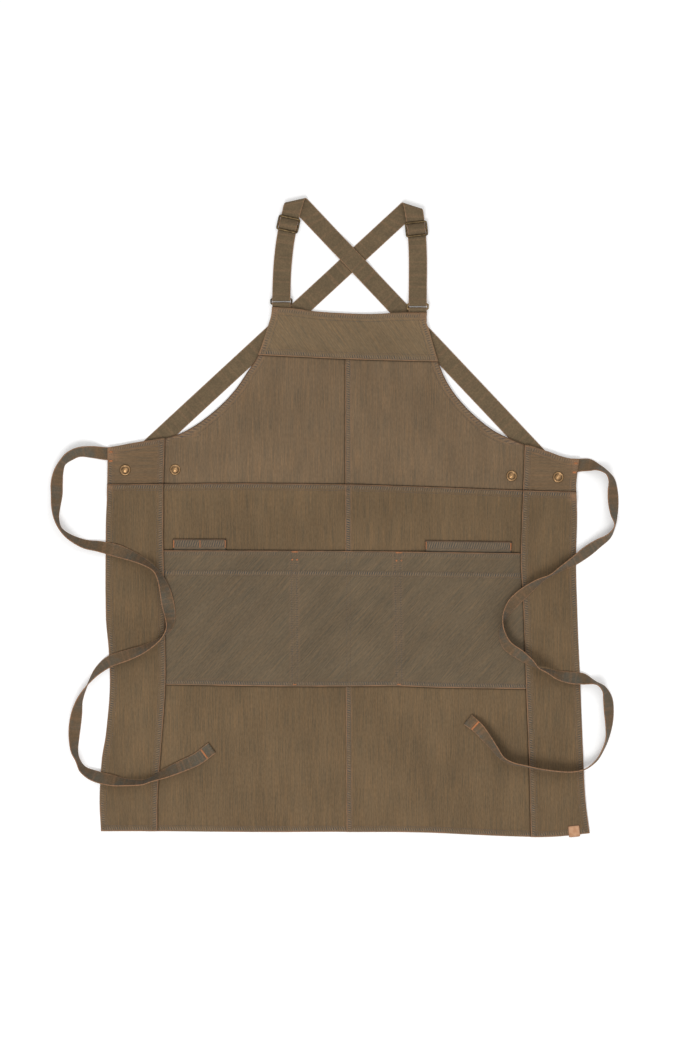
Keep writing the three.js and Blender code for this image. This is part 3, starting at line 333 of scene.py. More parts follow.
# Panels in sewing order: blocks of grid cells [first column, last column, first row, last row]
PANELS = {
    "bib_left": [
        [LEFT_SEAM, CENTRE_END, YOKE_LAP, WAIST_LAP],
        [LEFT_LAP, LEFT_SEAM, ARMPIT, WAIST_LAP],
    ],
    "bib_right": [
        [CENTRE, RIGHT_SEAM, YOKE_LAP, WAIST_LAP],
        [RIGHT_SEAM, RIGHT_LAP, ARMPIT, WAIST_LAP],
    ],
    "upper_side_left": [[LEFT_EDGE, LEFT_SEAM, ARMPIT, WAIST_LAP]],
    "upper_side_right": [[RIGHT_SEAM, RIGHT_EDGE, ARMPIT, WAIST_LAP]],
    "bib_yoke": [[LEFT_SEAM, RIGHT_SEAM, YOKE_TOP, YOKE_SEAM]],
    "skirt_left": [[LEFT_LAP, CENTRE_END, WAIST, HEM]],
    "skirt_right": [[CENTRE, RIGHT_LAP, WAIST, HEM]],
    "pen_pocket": [[PEN_LEFT, PEN_RIGHT, WELT_TOP, PATCH_END]],
    "towel_pocket": [[TOWEL_LEFT, TOWEL_RIGHT, WELT_TOP, PATCH_END]],
    "big_pocket": [[LEFT_LAP, RIGHT_LAP, POCKET_TOP, POCKET_BOTTOM]],
    "side_left": [[LEFT_EDGE, LEFT_SEAM, WAIST, HEM]],
    "side_right": [[RIGHT_SEAM, RIGHT_EDGE, WAIST, HEM]],
}

# Fine steps inside each grid cell
FINE_STEP = 2.4
CROSSING_ROUNDS = 14


def fine_counts(lines, where):
    places = [float(line(where)) for line in lines]
    return [max(1, round(abs(b - a) / FINE_STEP)) for a, b in zip(places, places[1:])]


SAMPLE_Y = WAIST_Y - SKIRT_LENGTH / 2
column_steps = fine_counts(columns, SAMPLE_Y)
row_steps = fine_counts(rows, 0.0)
column_start = np.concatenate([[0], np.cumsum(column_steps)])
row_start = np.concatenate([[0], np.cumsum(row_steps)])
fine_x = np.zeros((column_start[-1] + 1, row_start[-1] + 1))
fine_y = np.zeros_like(fine_x)


def cell_block(i, j, past=1):
    """Where one grid cell's fine points lie. With nothing past the end, where its fine cells lie."""
    return (
        slice(column_start[i], column_start[i + 1] + past),
        slice(row_start[j], row_start[j + 1] + past),
    )


def place_cell(i, j):
    """Works out the fine points of one grid cell, where its mixed columns cross its mixed rows."""
    across = np.linspace(0, 1, column_steps[i] + 1)[:, None]
    down = np.linspace(0, 1, row_steps[j] + 1)[None, :]
    x = np.zeros((column_steps[i] + 1, row_steps[j] + 1))
    y = mix(rows[j](x), rows[j + 1](x), down)
    for _ in range(CROSSING_ROUNDS):
        x = mix(columns[i](y), columns[i + 1](y), across)
        y = mix(rows[j](x), rows[j + 1](x), down)
    fine_x[cell_block(i, j)] = x
    fine_y[cell_block(i, j)] = y


def cells_of(blocks):
    return {
        (i, j)
        for first_col, last_col, first_row, last_row in blocks
        for i in range(first_col, last_col)
        for j in range(first_row, last_row)
    }


for cell in sorted(set().union(*(cells_of(blocks) for blocks in PANELS.values()))):
    place_cell(*cell)

# Soft ripples of the cloth: places and sizes as shares of half the hem and of the skirt's length
RIPPLES = [
    {"across": -0.93, "up": -0.86, "wide": 0.16, "long": 0.12, "lift": 2.6},
    {"across": 0.93, "up": -0.88, "wide": 0.16, "long": 0.12, "lift": 2.8},
    {"across": 0.46, "up": -0.99, "wide": 0.2, "long": 0.09, "lift": 2.2},
    {"across": -0.34, "up": -0.99, "wide": 0.18, "long": 0.07, "lift": 1.4},
    {"across": 0.12, "up": -0.72, "wide": 0.14, "long": 0.14, "lift": 1.6},
]
RIPPLE_FLOOR = 0.5


def ripple_lift(x, y):
    lift = np.zeros_like(x)
    for ripple in RIPPLES:
        sideways = (x / HALF_HEM - ripple["across"]) / ripple["wide"]
        upwards = (up_share(y) - ripple["up"]) / ripple["long"]
        lift += ripple["lift"] * np.exp(-sideways ** 2 - upwards ** 2)
    return np.maximum(0, lift - RIPPLE_FLOOR)


def waves(x, y, seed, lengths, count=5):
    """Smooth noise from 0 to 1: a few plane waves with seeded directions and lengths."""
    draw = np.random.default_rng(seed)
    height = np.zeros_like(x)
    for _ in range(count):
        turn = draw.uniform(0, 2 * math.pi)
        length = draw.uniform(*lengths)
        phase = draw.uniform(0, 2 * math.pi)
        height += np.sin((x * math.cos(turn) + y * math.sin(turn)) * 2 * math.pi / length + phase)
    return np.clip(0.5 + height / count, 0, 1)


WRINKLE = 1.1
WRINKLE_LENGTHS = (70, 190)
WRINKLE_SEED = 7


def wrinkle_lift(x, y):
    return WRINKLE * waves(x, y, WRINKLE_SEED, WRINKLE_LENGTHS) ** 1.5


ring_x = {
    "left": left_corner + STRAP_WIDTH / 2 + TAB_INSET,
    "right": right_corner - STRAP_WIDTH / 2 - TAB_INSET,
}


def ground_height(x, i, j):
    """Height of the cloth's underside where only straps and tabs lie below it."""
    if j > WAIST_LAP:
        return 0.0
    if i < LEFT_LAP or i > RIGHT_LAP:
        return SNAP_STACK
    near_tab = min(abs(x - ring_x["left"]), abs(x - ring_x["right"]))
    return TAB_STACK if j <= 1 and near_tab < STRAP_WIDTH / 2 + 2 * SEAM_LAP else STRAP_STACK


def stack_panels():
    """Underside height of each panel at its grid points, laid one on another in sewing order."""
    tops = {}
    undersides = {}
    for name, blocks in PANELS.items():
        points = {
            (i + a, j + b) for i, j in cells_of(blocks) for a in (0, 1) for b in (0, 1)
        }
        heights = {}
        for i, j in points:
            x = fine_x[column_start[i], row_start[j]]
            heights[i, j] = tops[i, j] + GAP if (i, j) in tops else ground_height(x, i, j)
        undersides[name] = heights
        tops.update({point: height + CLOTH for point, height in heights.items()})
    return undersides


undersides = stack_panels()


def column_distance(line, x, y):
    """Signed distance to the right of a line that runs up the body."""
    slope = line(y + 0.5) - line(y - 0.5)
    return (x - line(y)) / np.sqrt(1 + slope ** 2)


def row_distance(line, x, y):
    """Signed distance below a line that runs across the body."""
    slope = line(x + 0.5) - line(x - 0.5)
    return (line(x) - y) / np.sqrt(1 + slope ** 2)


# How far in from an edge the slate dashes reach, and how wide the rust line on the edge is
DASH_WIDTH = 6.5
EDGE_WORN = 0.9


def distance_for(kind):
    return column_distance if kind == "column" else row_distance


def band(
    kind, line, inward, width, rows_at, pucker,
    reach=None, start=0, worn=EDGE_WORN, dashes=DASH_WIDTH,
):
    """A stitched band along one edge of a panel. inward is the sign of the distance on the panel."""
    return {
        "kind": kind, "line": line, "inward": inward, "width": width, "rows_at": rows_at,
        "pucker": pucker, "reach": reach, "start": start, "worn": worn, "dashes": dashes,
    }


def above_armpit(y):
    return y > min(left_armpit_y, right_armpit_y)


# How far in from the edge each kind of seam is sewn
LAP_ROWS = (1.8, 10)
NARROW_LAP_ROWS = (1.8, 9.5)
CENTRE_ROWS = (1.8, 7.2)
ARMHOLE_ROW = (11.5,)
HEM_ROW = (10.5,)
BOTTOM_ROW = (9,)
WAIST_SEAM = band("row", waist, 1, SEAM_LAP, LAP_ROWS, 0.95)
BOTTOM_HEM = band("row", hem, -1, BOTTOM_BAND, BOTTOM_ROW, 0.6)

BANDS = {
    "bib_left": [],
    "bib_right": [band("column", centre, 1, CENTRE_LAP, CENTRE_ROWS, 0.55)],
    "bib_yoke": [
        band("row", yoke_seam, -1, SEAM_LAP, (1.8, 10.2), 0.8),
        band("row", yoke_top, 1, ARMHOLE_BAND, (12,), 0.5, worn=2),
    ],
    "skirt_left": [WAIST_SEAM, BOTTOM_HEM],
    "skirt_right": [WAIST_SEAM, band("column", centre, 1, CENTRE_LAP, CENTRE_ROWS, 0.7), BOTTOM_HEM],
    "big_pocket": [
        band("row", pocket_top, 1, 3, (2,), 0.2),
        band("row", pocket_top, 1, 37, (31, 39), 0.8, start=30),
        band("row", pocket_bottom, -1, 7, (2, 6), 0.7),
    ],
}
# Where an upper panel's edge shades the panel below it: kind, line, side of the shaded strip
SHADED = {
    "big_pocket": [("column", left_seam, 1), ("column", right_seam, -1)],
    "bib_left": [("column", centre, -1)],
    "bib_right": [],
}
for side, seam, edge, inward in (("left", left_seam, left_edge, 1), ("right", right_seam, right_edge, -1)):
    BANDS[f"bib_{side}"] += [
        band("column", seam, inward, ARMHOLE_BAND, ARMHOLE_ROW, 0.5, above_armpit, worn=2.2),
    ]
    BANDS["bib_yoke"] += [band("column", seam, inward, ARMHOLE_BAND, ARMHOLE_ROW, 0.45, worn=2)]
    BANDS[f"upper_side_{side}"] = [
        band("column", seam, -inward, SEAM_LAP, NARROW_LAP_ROWS, 0.7),
        band("row", armpit, 1, ARMHOLE_BAND, ARMHOLE_ROW, 0.6, worn=1.8),
        band("column", edge, inward, HEM_BAND, HEM_ROW, 0.5),
    ]
    BANDS[f"side_{side}"] = [
        band("column", seam, -inward, SEAM_LAP, LAP_ROWS, 0.95),
        band("column", edge, inward, HEM_BAND, HEM_ROW, 0.6),
        BOTTOM_HEM,
        WAIST_SEAM,
    ]
    SHADED[f"bib_{side}"] += [("row", waist, -1), ("column", seam, inward), ("row", yoke_seam, 1)]
    SHADED[f"upper_side_{side}"] = [("row", waist, -1)]
    SHADED[f"skirt_{side}"] = [
        ("column", seam, inward), ("row", pocket_top, -1), ("row", pocket_bottom, 1),
    ]
SMALL_POCKETS = {"pen_pocket": (PEN_LEFT, PEN_RIGHT), "towel_pocket": (TOWEL_LEFT, TOWEL_RIGHT)}
for name, (first, last) in SMALL_POCKETS.items():
    BANDS[name] = [band("row", rows[WELT_TOP], 1, 13, (12.5,), 0.45, dashes=12)]
    SHADED[name] = [
        ("row", rows[WELT_TOP], 1), ("row", pocket_top, -1),
        ("column", columns[first], 1), ("column", columns[last], -1),
    ]
DIVIDERS = [between(left_seam, centre, 0.717), between(centre, right_seam, 0.297)]
DIVIDER_GAP = 7.5
SHADE_WIDTH = 1.5

# Corners worn to rust, where ties and seams are tacked: place, radius and strength
LEFT_TIP = (float(left_edge(WAIST_Y + 50)) + 6, WAIST_Y + 50)
RIGHT_TIP = (float(right_edge(WAIST_Y + 32)) - 5, WAIST_Y + 30)
RUST_CORNERS = {
    "upper_side_left": [(LEFT_TIP, 11, 0.9)],
    "upper_side_right": [(RIGHT_TIP, 10, 0.9)],
    "side_left": [((float(left_edge(WAIST_Y)) + 4, float(waist(-HALF_HEM)) - 4), 7, 0.6)],
    "side_right": [((float(right_edge(WAIST_Y)) - 4, float(waist(HALF_HEM)) - 6), 8, 0.7)],
    "bib_yoke": [
        ((left_corner + 5, float(yoke_top(left_corner)) - 5), 8, 0.5),
        ((right_corner - 5, float(yoke_top(right_corner)) - 5), 8, 0.5),
    ],
}

# Relief of a stitched band: its turned cloth, dropped edge, stitch grooves and slanting puckers
BAND_RISE = 0.7
BAND_START_FADE = 1.5
BAND_END_FADE = 1.6
EDGE_DROP = 0.5
EDGE_DROP_WIDTH = 0.9
GROOVE = 0.45
GROOVE_WIDTH = 1.3
PUCKER_RISE = 0.55
PUCKER_LEAST = 0.2
PUCKER_LENGTH = 8.5
PUCKER_SKEW = 0.55
PUCKER_WAVER = 0.35
PUCKER_WAVER_LENGTH = 23
PUCKER_PATCHES = (14, 40)
PUCKER_SEED = 31
POCKET_SWELL = 1.2
POCKET_SWELL_LENGTHS = (60, 150)
POCKET_SWELL_SEED = 5

# Wear of a stitched band: slate dashes across it, and a faint rust outline where it ends
DASH_START = 0.8
DASH_FADE = 1.5
DASH_SKEW = 0.3
DASH_LEAST = 0.35
OUTLINE_PAST = 2.2
OUTLINE_WIDTH = 0.8
OUTLINE_STRENGTH = 0.28
DIVIDER_DASH_WIDTH = 1.5
DIVIDER_DASH_STRENGTH = 0.7
DIVIDER_OUTLINE_AT = 2.4
DIVIDER_OUTLINE_STRENGTH = 0.45
# How far the painted shade reaches back under the upper panel's edge
SHADE_REACH_BACK = 2


def bump_at(away, width):
    """1 where away is nothing, fading out smoothly over the width."""
    return np.exp(-(away / width) ** 2)


def raise_mask(masks, label, values):
    masks[label] = np.maximum(masks[label], values)


def add_dashes(masks, dashes, run):
    """Lays dashes over the masks, with how far along their band each point is."""
    masks["run"] = np.where(dashes > masks["band"], run, masks["run"])
    raise_mask(masks, "band", dashes)


def band_rise(spec, number, inside, along, x, y):
    """Height that one stitched band adds."""
    from_start = ease((inside - spec["start"] + BAND_START_FADE) / BAND_START_FADE)
    window = from_start * (1 - ease((inside - spec["width"]) / BAND_END_FADE))
    phase = along / PUCKER_LENGTH + PUCKER_WAVER * np.sin(along / PUCKER_WAVER_LENGTH + number)
    wave = 0.5 + 0.5 * np.sin(2 * math.pi * (phase + inside / spec["width"] * PUCKER_SKEW))
    strength = mix(PUCKER_LEAST, 1, waves(x, y, PUCKER_SEED + number, PUCKER_PATCHES, 4))
    rise = (BAND_RISE + PUCKER_RISE * spec["pucker"] * wave * strength) * window
    if spec["start"] == 0:
        rise -= EDGE_DROP * np.exp(-np.abs(inside) / EDGE_DROP_WIDTH)
    for stitch_at in spec["rows_at"]:
        rise -= GROOVE * bump_at(inside - stitch_at, GROOVE_WIDTH)
    return rise


def divider_rise(masks, x, y):
    """Grooves along both stitch lines of each pocket divider, and their wear."""
    rise = np.zeros_like(x)
    for divider in DIVIDERS:
        for offset in (-DIVIDER_GAP / 2, DIVIDER_GAP / 2):
            away = column_distance(shifted(divider, offset), x, y)
            rise -= GROOVE * bump_at(away, GROOVE_WIDTH)
            add_dashes(masks, DIVIDER_DASH_STRENGTH * bump_at(away, DIVIDER_DASH_WIDTH), y)
            outline = bump_at(np.abs(away) - DIVIDER_OUTLINE_AT, OUTLINE_WIDTH)
            raise_mask(masks, "edge", DIVIDER_OUTLINE_STRENGTH * outline)
    return rise


def band_finish(name, x, y):
    """Relief that a panel's stitched bands give it, and its masks for the shader."""
    relief = np.zeros_like(x)
    masks = {label: np.zeros_like(x) for label in ("band", "edge", "run", "shade")}
    for number, spec in enumerate(BANDS[name]):
        inside = distance_for(spec["kind"])(spec["line"], x, y) * spec["inward"]
        along = y if spec["kind"] == "column" else x
        reach = np.ones_like(x) if spec["reach"] is None else spec["reach"](y).astype(float)
        rise = band_rise(spec, number, inside, along, x, y) * reach
        relief = np.where(np.abs(rise) > np.abs(relief), rise, relief)
        if spec["start"] == 0:
            raise_mask(masks, "edge", np.exp(-np.abs(inside) / spec["worn"]) * reach)
        depth = inside - spec["start"]
        dashes = ease(depth - DASH_START) * (1 - ease((depth - spec["dashes"]) / DASH_FADE)) * reach
        strength = min(1.0, DASH_LEAST + spec["pucker"])
        add_dashes(masks, dashes * strength, along + DASH_SKEW * inside)
        outline = bump_at(depth - spec["dashes"] - OUTLINE_PAST, OUTLINE_WIDTH) * reach
        raise_mask(masks, "edge", OUTLINE_STRENGTH * outline)
    if name == "big_pocket":
        relief += divider_rise(masks, x, y)
        relief += POCKET_SWELL * waves(x, y, POCKET_SWELL_SEED, POCKET_SWELL_LENGTHS)
    for corner, radius, strength in RUST_CORNERS.get(name, []):
        away = np.hypot(x - corner[0], y - corner[1])
        raise_mask(masks, "edge", strength * bump_at(away, radius))
    # Painted shade beside the edges of the panels that lie over this one
    for kind, line, inward in SHADED.get(name, []):
        inside = distance_for(kind)(line, x, y) * inward
        shade = bump_at(np.maximum(inside, 0), SHADE_WIDTH) * (inside > -SHADE_REACH_BACK)
        raise_mask(masks, "shade", shade)
    return relief, masks


def write_mesh(name, points, faces):
    """A smooth shaded mesh in metres from points in millimetres."""
    mesh = bpy.data.meshes.new(name)
    mesh.from_pydata([], [], [])
    points = np.asarray(points, dtype=np.float32)
    sizes = np.array([len(face) for face in faces], dtype=np.int32)
    corners = np.fromiter((v for face in faces for v in face), dtype=np.int32)
    mesh.vertices.add(len(points))
    mesh.vertices.foreach_set("co", (points * MM).ravel())
    mesh.loops.add(len(corners))
    mesh.loops.foreach_set("vertex_index", corners)
    mesh.polygons.add(len(sizes))
    starts = np.concatenate([[0], np.cumsum(sizes)[:-1]]).astype(np.int32)
    mesh.polygons.foreach_set("loop_start", starts)
    mesh.polygons.foreach_set("use_smooth", np.full(len(sizes), True))
    mesh.update(calc_edges=True)
    mesh.validate()
    return mesh


def add_masks(mesh, masks):
    for name, values in masks.items():
        layer = mesh.attributes.new(name, "FLOAT", "POINT")
        layer.data.foreach_set("value", np.asarray(values, dtype=np.float32).ravel())


def tube_faces(rings, turns, closed=False, first=0):
    """Faces round a tube of rings of points, with a cap on each end if it isn't closed on itself."""
    faces = []
    for ring in range(rings if closed else rings - 1):
        here = first + ring * turns
        there = first + (ring + 1) % rings * turns
        for k in range(turns):
            after = (k + 1) % turns
            faces.append((here + k, here + after, there + after, there + k))
    if not closed:
        last = first + (rings - 1) * turns
        faces.append(tuple(first + k for k in range(turns - 1, -1, -1)))
        faces.append(tuple(last + k for k in range(turns)))
    return faces


def add_piece(name, mesh, material, nodes=()):
    piece = bpy.data.objects.new(name, mesh)
    bpy.context.scene.collection.objects.link(piece)
    mesh.materials.append(material)
    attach(piece, "root")
    if nodes:
        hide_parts(*nodes)
    return piece


# The panels' upper faces, which stitches are laid on later
top_surfaces = {"points": [], "faces": [], "count": 0}


def panel_layout(name):
    """Which fine cells a panel covers, and the height of its underside at their corners."""
    used = np.zeros((column_start[-1], row_start[-1]), dtype=bool)
    height = np.full(fine_x.shape, np.nan)
    levels = undersides[name]
    for i, j in cells_of(PANELS[name]):
        across = ease(np.linspace(0, 1, column_steps[i] + 1))[:, None]
        down = ease(np.linspace(0, 1, row_steps[j] + 1))[None, :]
        upper = mix(levels[i, j], levels[i + 1, j], across)
        lower = mix(levels[i, j + 1], levels[i + 1, j + 1], across)
        height[cell_block(i, j)] = mix(upper, lower, down)
        used[cell_block(i, j, past=0)] = True
    return used, height


def panel_faces(used, index, count):
    """Top faces, and all faces of the closed sheet: top, underside and the rim between them."""
    k, l = np.nonzero(used)
    a, b, c, d = index[k, l], index[k, l + 1], index[k + 1, l + 1], index[k + 1, l]
    top = np.stack([a, b, c, d], axis=1)
    faces = [top, np.stack([a, d, c, b], axis=1) + count]
    padded = np.pad(used, 1)
    for step_k, step_l, start, end in ((-1, 0, a, b), (0, 1, b, c), (1, 0, c, d), (0, -1, d, a)):
        open_side = ~padded[k + 1 + step_k, l + 1 + step_l]
        p, q = start[open_side], end[open_side]
        faces.append(np.stack([p, p + count, q + count, q], axis=1))
    return top, np.concatenate(faces)


def panel_mesh(name):
    """A closed sheet of cloth over the panel's cells, with its bands, wrinkles and worn edges."""
    used, height = panel_layout(name)
    point_used = ~np.isnan(height)
    count = int(point_used.sum())
    index = np.full(height.shape, -1)
    index[point_used] = np.arange(count)
    x = fine_x[point_used]
    y = fine_y[point_used]
    base = height[point_used] + ripple_lift(x, y) * (y < waist(x) - SEAM_LAP) + wrinkle_lift(x, y)
    relief, masks = band_finish(name, x, y)
    top = np.stack([x, y, base + CLOTH + relief], axis=1)
    bottom = np.stack([x, y, base], axis=1)
    top_faces, faces = panel_faces(used, index, count)
    mesh = write_mesh(name, np.concatenate([top, bottom]), faces.tolist())
    nothing = np.zeros(count)
    add_masks(mesh, {label: np.concatenate([mask, nothing]) for label, mask in masks.items()})
    top_surfaces["faces"].append(top_faces + top_surfaces["count"])
    top_surfaces["points"].append(top)
    top_surfaces["count"] += count
    k, l = np.nonzero(used)
    cell_area = (fine_x[k + 1, l] - fine_x[k, l]) * (fine_y[k, l] - fine_y[k, l + 1])
    size = (np.ptp(x) * MM, np.ptp(y) * MM)
    return mesh, size, float(cell_area.sum()) * MM * MM


# Shader node groups and materials
def socket_kind(kind):
    return {"colour": "NodeSocketColor", "value": "NodeSocketFloat", "vector": "NodeSocketVector"}[kind]


def node_group(name, inputs, outputs):
    group = bpy.data.node_groups.new(name, "ShaderNodeTree")
    for label, kind, start in inputs:
        socket = group.interface.new_socket(label, in_out="INPUT", socket_type=socket_kind(kind))
        if start is not None:
            socket.default_value = start
    for label, kind in outputs:
        group.interface.new_socket(label, in_out="OUTPUT", socket_type=socket_kind(kind))
    into = group.nodes.new("NodeGroupInput")
    out = group.nodes.new("NodeGroupOutput")
    return group, into, out


def math_node(tree, operation, a, b=None, clamp=False):
    node = tree.nodes.new("ShaderNodeMath")
    node.operation = operation
    node.use_clamp = clamp
    for socket, value in zip(node.inputs, (a, b)):
        if value is None:
            continue
        if isinstance(value, (int, float)):
            socket.default_value = value
        else:
            tree.links.new(value, socket)
    return node.outputs[0]


def product(tree, first, *others):
    for other in others:
        first = math_node(tree, "MULTIPLY", first, other)
    return first


def total(tree, first, *others):
    for other in others:
        first = math_node(tree, "ADD", first, other)
    return first


def blend_colour(tree, share, first, second, way="MIX"):
    node = tree.nodes.new("ShaderNodeMix")
    node.data_type = "RGBA"
    node.blend_type = way
    share_socket, first_socket, second_socket = node.inputs[0], node.inputs[6], node.inputs[7]
    for socket, value in ((share_socket, share), (first_socket, first), (second_socket, second)):
        if isinstance(value, (int, float)):
            socket.default_value = value
        elif isinstance(value, tuple):
            socket.default_value = value + (1,)
        else:
            tree.links.new(value, socket)
    return node.outputs[2]


def noise(tree, vector, scale, detail=2.0, stretch=None, one_way=False):
    node = tree.nodes.new("ShaderNodeTexNoise")
    node.inputs["Scale"].default_value = scale
    node.inputs["Detail"].default_value = detail
    if one_way:
        node.noise_dimensions = "1D"
        tree.links.new(vector, node.inputs["W"])
        return node.outputs[0]
    if stretch:
        mapping = tree.nodes.new("ShaderNodeMapping")
        mapping.inputs["Scale"].default_value = stretch
        tree.links.new(vector, mapping.inputs["Vector"])
        vector = mapping.outputs[0]
    tree.links.new(vector, node.inputs["Vector"])
    return node.outputs[0]


def span(tree, value, low, high, to_low=0.0, to_high=1.0):
    node = tree.nodes.new("ShaderNodeMapRange")
    node.interpolation_type = "SMOOTHSTEP"
    tree.links.new(value, node.inputs["Value"])
    node.inputs["From Min"].default_value = low
    node.inputs["From Max"].default_value = high
    node.inputs["To Min"].default_value = to_low
    node.inputs["To Max"].default_value = to_high
    return node.outputs[0]


def dimmed(tree, colour, value):
    """A colour with all three channels multiplied by one value."""
    grey = tree.nodes.new("ShaderNodeCombineColor")
    for channel in grey.inputs:
        tree.links.new(value, channel)
    return blend_colour(tree, 1.0, colour, grey.outputs[0], "MULTIPLY")


def make_pinstripe():
    """Yarn-dyed twill: fine, faint stripes of warmer and cooler yarn, slubs and broad soft streaks."""
    group, into, out = node_group(
        "pinstripe twill",
        [("Vector", "vector", None), ("Turn", "value", 0.0), ("Ground", "colour", (0.15, 0.1, 0.055, 1)),
         ("Warm", "colour", (0.2, 0.12, 0.06, 1)), ("Cool", "colour", (0.11, 0.09, 0.06, 1))],
        [("Color", "colour"), ("Height", "value")],
    )
    turn = group.nodes.new("ShaderNodeVectorRotate")
    turn.rotation_type = "Z_AXIS"
    group.links.new(into.outputs["Vector"], turn.inputs["Vector"])
    group.links.new(into.outputs["Turn"], turn.inputs["Angle"])
    turned = turn.outputs[0]
    warm = span(group, noise(group, turned, 1.0, 1.0, stretch=(520, 18, 1)), 0.44, 0.7, 0, 0.8)
    cool = span(group, noise(group, turned, 1.0, 1.0, stretch=(600, 24, 5)), 0.46, 0.72, 0, 0.8)
    yarn = span(group, noise(group, turned, 1.0, 0.0, stretch=(800, 30, 1)), 0.35, 0.65)
    broad = noise(group, turned, 1.0, 2.0, stretch=(36, 7, 1))
    slub = noise(group, turned, 1.0, 2.0, stretch=(700, 160, 1))
    colour = blend_colour(group, warm, into.outputs["Ground"], into.outputs["Warm"])
    colour = blend_colour(group, cool, colour, into.outputs["Cool"])
    streaks = span(group, broad, 0.3, 0.7, 0.95, 1.05)
    slubs = span(group, slub, 0.35, 0.65, 0.92, 1.08)
    colour = dimmed(group, colour, product(group, streaks, slubs))
    height = total(group, product(group, yarn, 0.5), product(group, slub, 0.5))
    group.links.new(colour, out.inputs["Color"])
    group.links.new(height, out.inputs["Height"])
    return group


def make_wear():
    """Wash wear and painted shade: clouds, slate dashes across the stitched bands, rust on edges, painted
    shade beside laps.
    """
    group, into, out = node_group(
        "wash wear",
        [("Color", "colour", (0.2, 0.15, 0.1, 1)), ("Vector", "vector", None), ("Band", "value", 0.0),
         ("Edge", "value", 0.0), ("Run", "value", 0.0), ("Shade", "value", 0.0), ("Pitch", "value", 3.6),
         ("Slate", "colour", (0.052, 0.056, 0.056, 1)), ("Ridge", "colour", (0.24, 0.165, 0.1, 1)),
         ("Worn", "colour", (0.33, 0.18, 0.095, 1))],
        [("Color", "colour"), ("Roughness", "value"), ("Height", "value")],
    )
    place, on_band = into.outputs["Vector"], into.outputs["Band"]
    cloud = span(group, noise(group, place, 9, 3.0), 0.3, 0.7, 0.93, 1.07)
    colour = dimmed(group, into.outputs["Color"], cloud)
    speck = noise(group, place, 190, 3.0)
    patch = noise(group, place, 34, 2.0)
    turns = math_node(group, "DIVIDE", into.outputs["Run"], into.outputs["Pitch"])
    turns = total(group, turns, product(group, patch, 1.2))
    wave = math_node(group, "SINE", product(group, turns, 2 * math.pi))
    dash = span(group, wave, -0.35, 0.55)
    fine_fade = span(group, speck, 0.38, 0.62, 0.45, 1.0)
    broad_fade = span(group, patch, 0.36, 0.58, 0.5, 1.0)
    slate = product(group, dash, on_band, fine_fade, broad_fade)
    colour = blend_colour(group, slate, colour, into.outputs["Slate"])
    between_dashes = product(group, math_node(group, "SUBTRACT", 1.0, dash), on_band)
    ridge = product(group, between_dashes, span(group, speck, 0.4, 0.62, 0.25, 0.75))
    colour = blend_colour(group, ridge, colour, into.outputs["Ridge"])
    patchiness = span(group, patch, 0.38, 0.6, 0.4, 1.0)
    worn = math_node(group, "MULTIPLY", into.outputs["Edge"], patchiness, clamp=True)
    colour = blend_colour(group, worn, colour, into.outputs["Worn"])
    # Painted shade: the colour is darkened beside the edge of an upper panel
    shade = math_node(group, "SUBTRACT", 1.0, product(group, into.outputs["Shade"], 0.72))
    group.links.new(dimmed(group, colour, shade), out.inputs["Color"])
    group.links.new(span(group, speck, 0.3, 0.7, 0.84, 0.98), out.inputs["Roughness"])
    group.links.new(between_dashes, out.inputs["Height"])
    return group


def make_weave():
    """Raised twill lines and the cross yarns between them, as a height."""
    group, into, out = node_group(
        "twill weave",
        [("Vector", "vector", None), ("Lines", "value", 420.0)],
        [("Height", "value")],
    )
    heights = []
    for direction, factor in (("DIAGONAL", 1.0), ("X", 1.7)):
        wave = group.nodes.new("ShaderNodeTexWave")
        wave.bands_direction = direction
        wave.inputs["Distortion"].default_value = 0.6
        scale = product(group, into.outputs["Lines"], factor)
        group.links.new(scale, wave.inputs["Scale"])
        group.links.new(into.outputs["Vector"], wave.inputs["Vector"])
        heights.append(wave.outputs[1])
    both = total(group, product(group, heights[0], 0.65), product(group, heights[1], 0.35))
    group.links.new(both, out.inputs["Height"])
    return group


PINSTRIPE = make_pinstripe()
WEAR_AND_SHADE = make_wear()
WEAVE = make_weave()


def new_material(name):
    """A new material's node tree, its Principled shader and the place on the object to shade by."""
    material = bpy.data.materials.new(name)
    material.use_nodes = True
    tree = material.node_tree
    place = tree.nodes.new("ShaderNodeTexCoord").outputs["Object"]
    return material, tree, tree.nodes["Principled BSDF"], place


def place_group(tree, group, links, values=()):
    node = tree.nodes.new("ShaderNodeGroup")
    node.node_tree = group
    for label, source in links:
        tree.links.new(source, node.inputs[label])
    for label, value in values:
        node.inputs[label].default_value = value
    return node


def mask_value(tree, name):
    node = tree.nodes.new("ShaderNodeAttribute")
    node.attribute_name = name
    return node.outputs["Fac"]


def bump_into(tree, shader, height, depth, strength=1.0):
    bump = tree.nodes.new("ShaderNodeBump")
    bump.inputs["Strength"].default_value = strength
    bump.inputs["Distance"].default_value = depth
    tree.links.new(height, bump.inputs["Height"])
    tree.links.new(bump.outputs[0], shader.inputs["Normal"])


def yarn_shade(ground, level, warmth):
    """A lighter or darker yarn of the same cloth. warmth over nothing is rustier, under it is bluer."""
    return (ground[0] * level * (1 + warmth), ground[1] * level, ground[2] * level * (1 - warmth), 1)


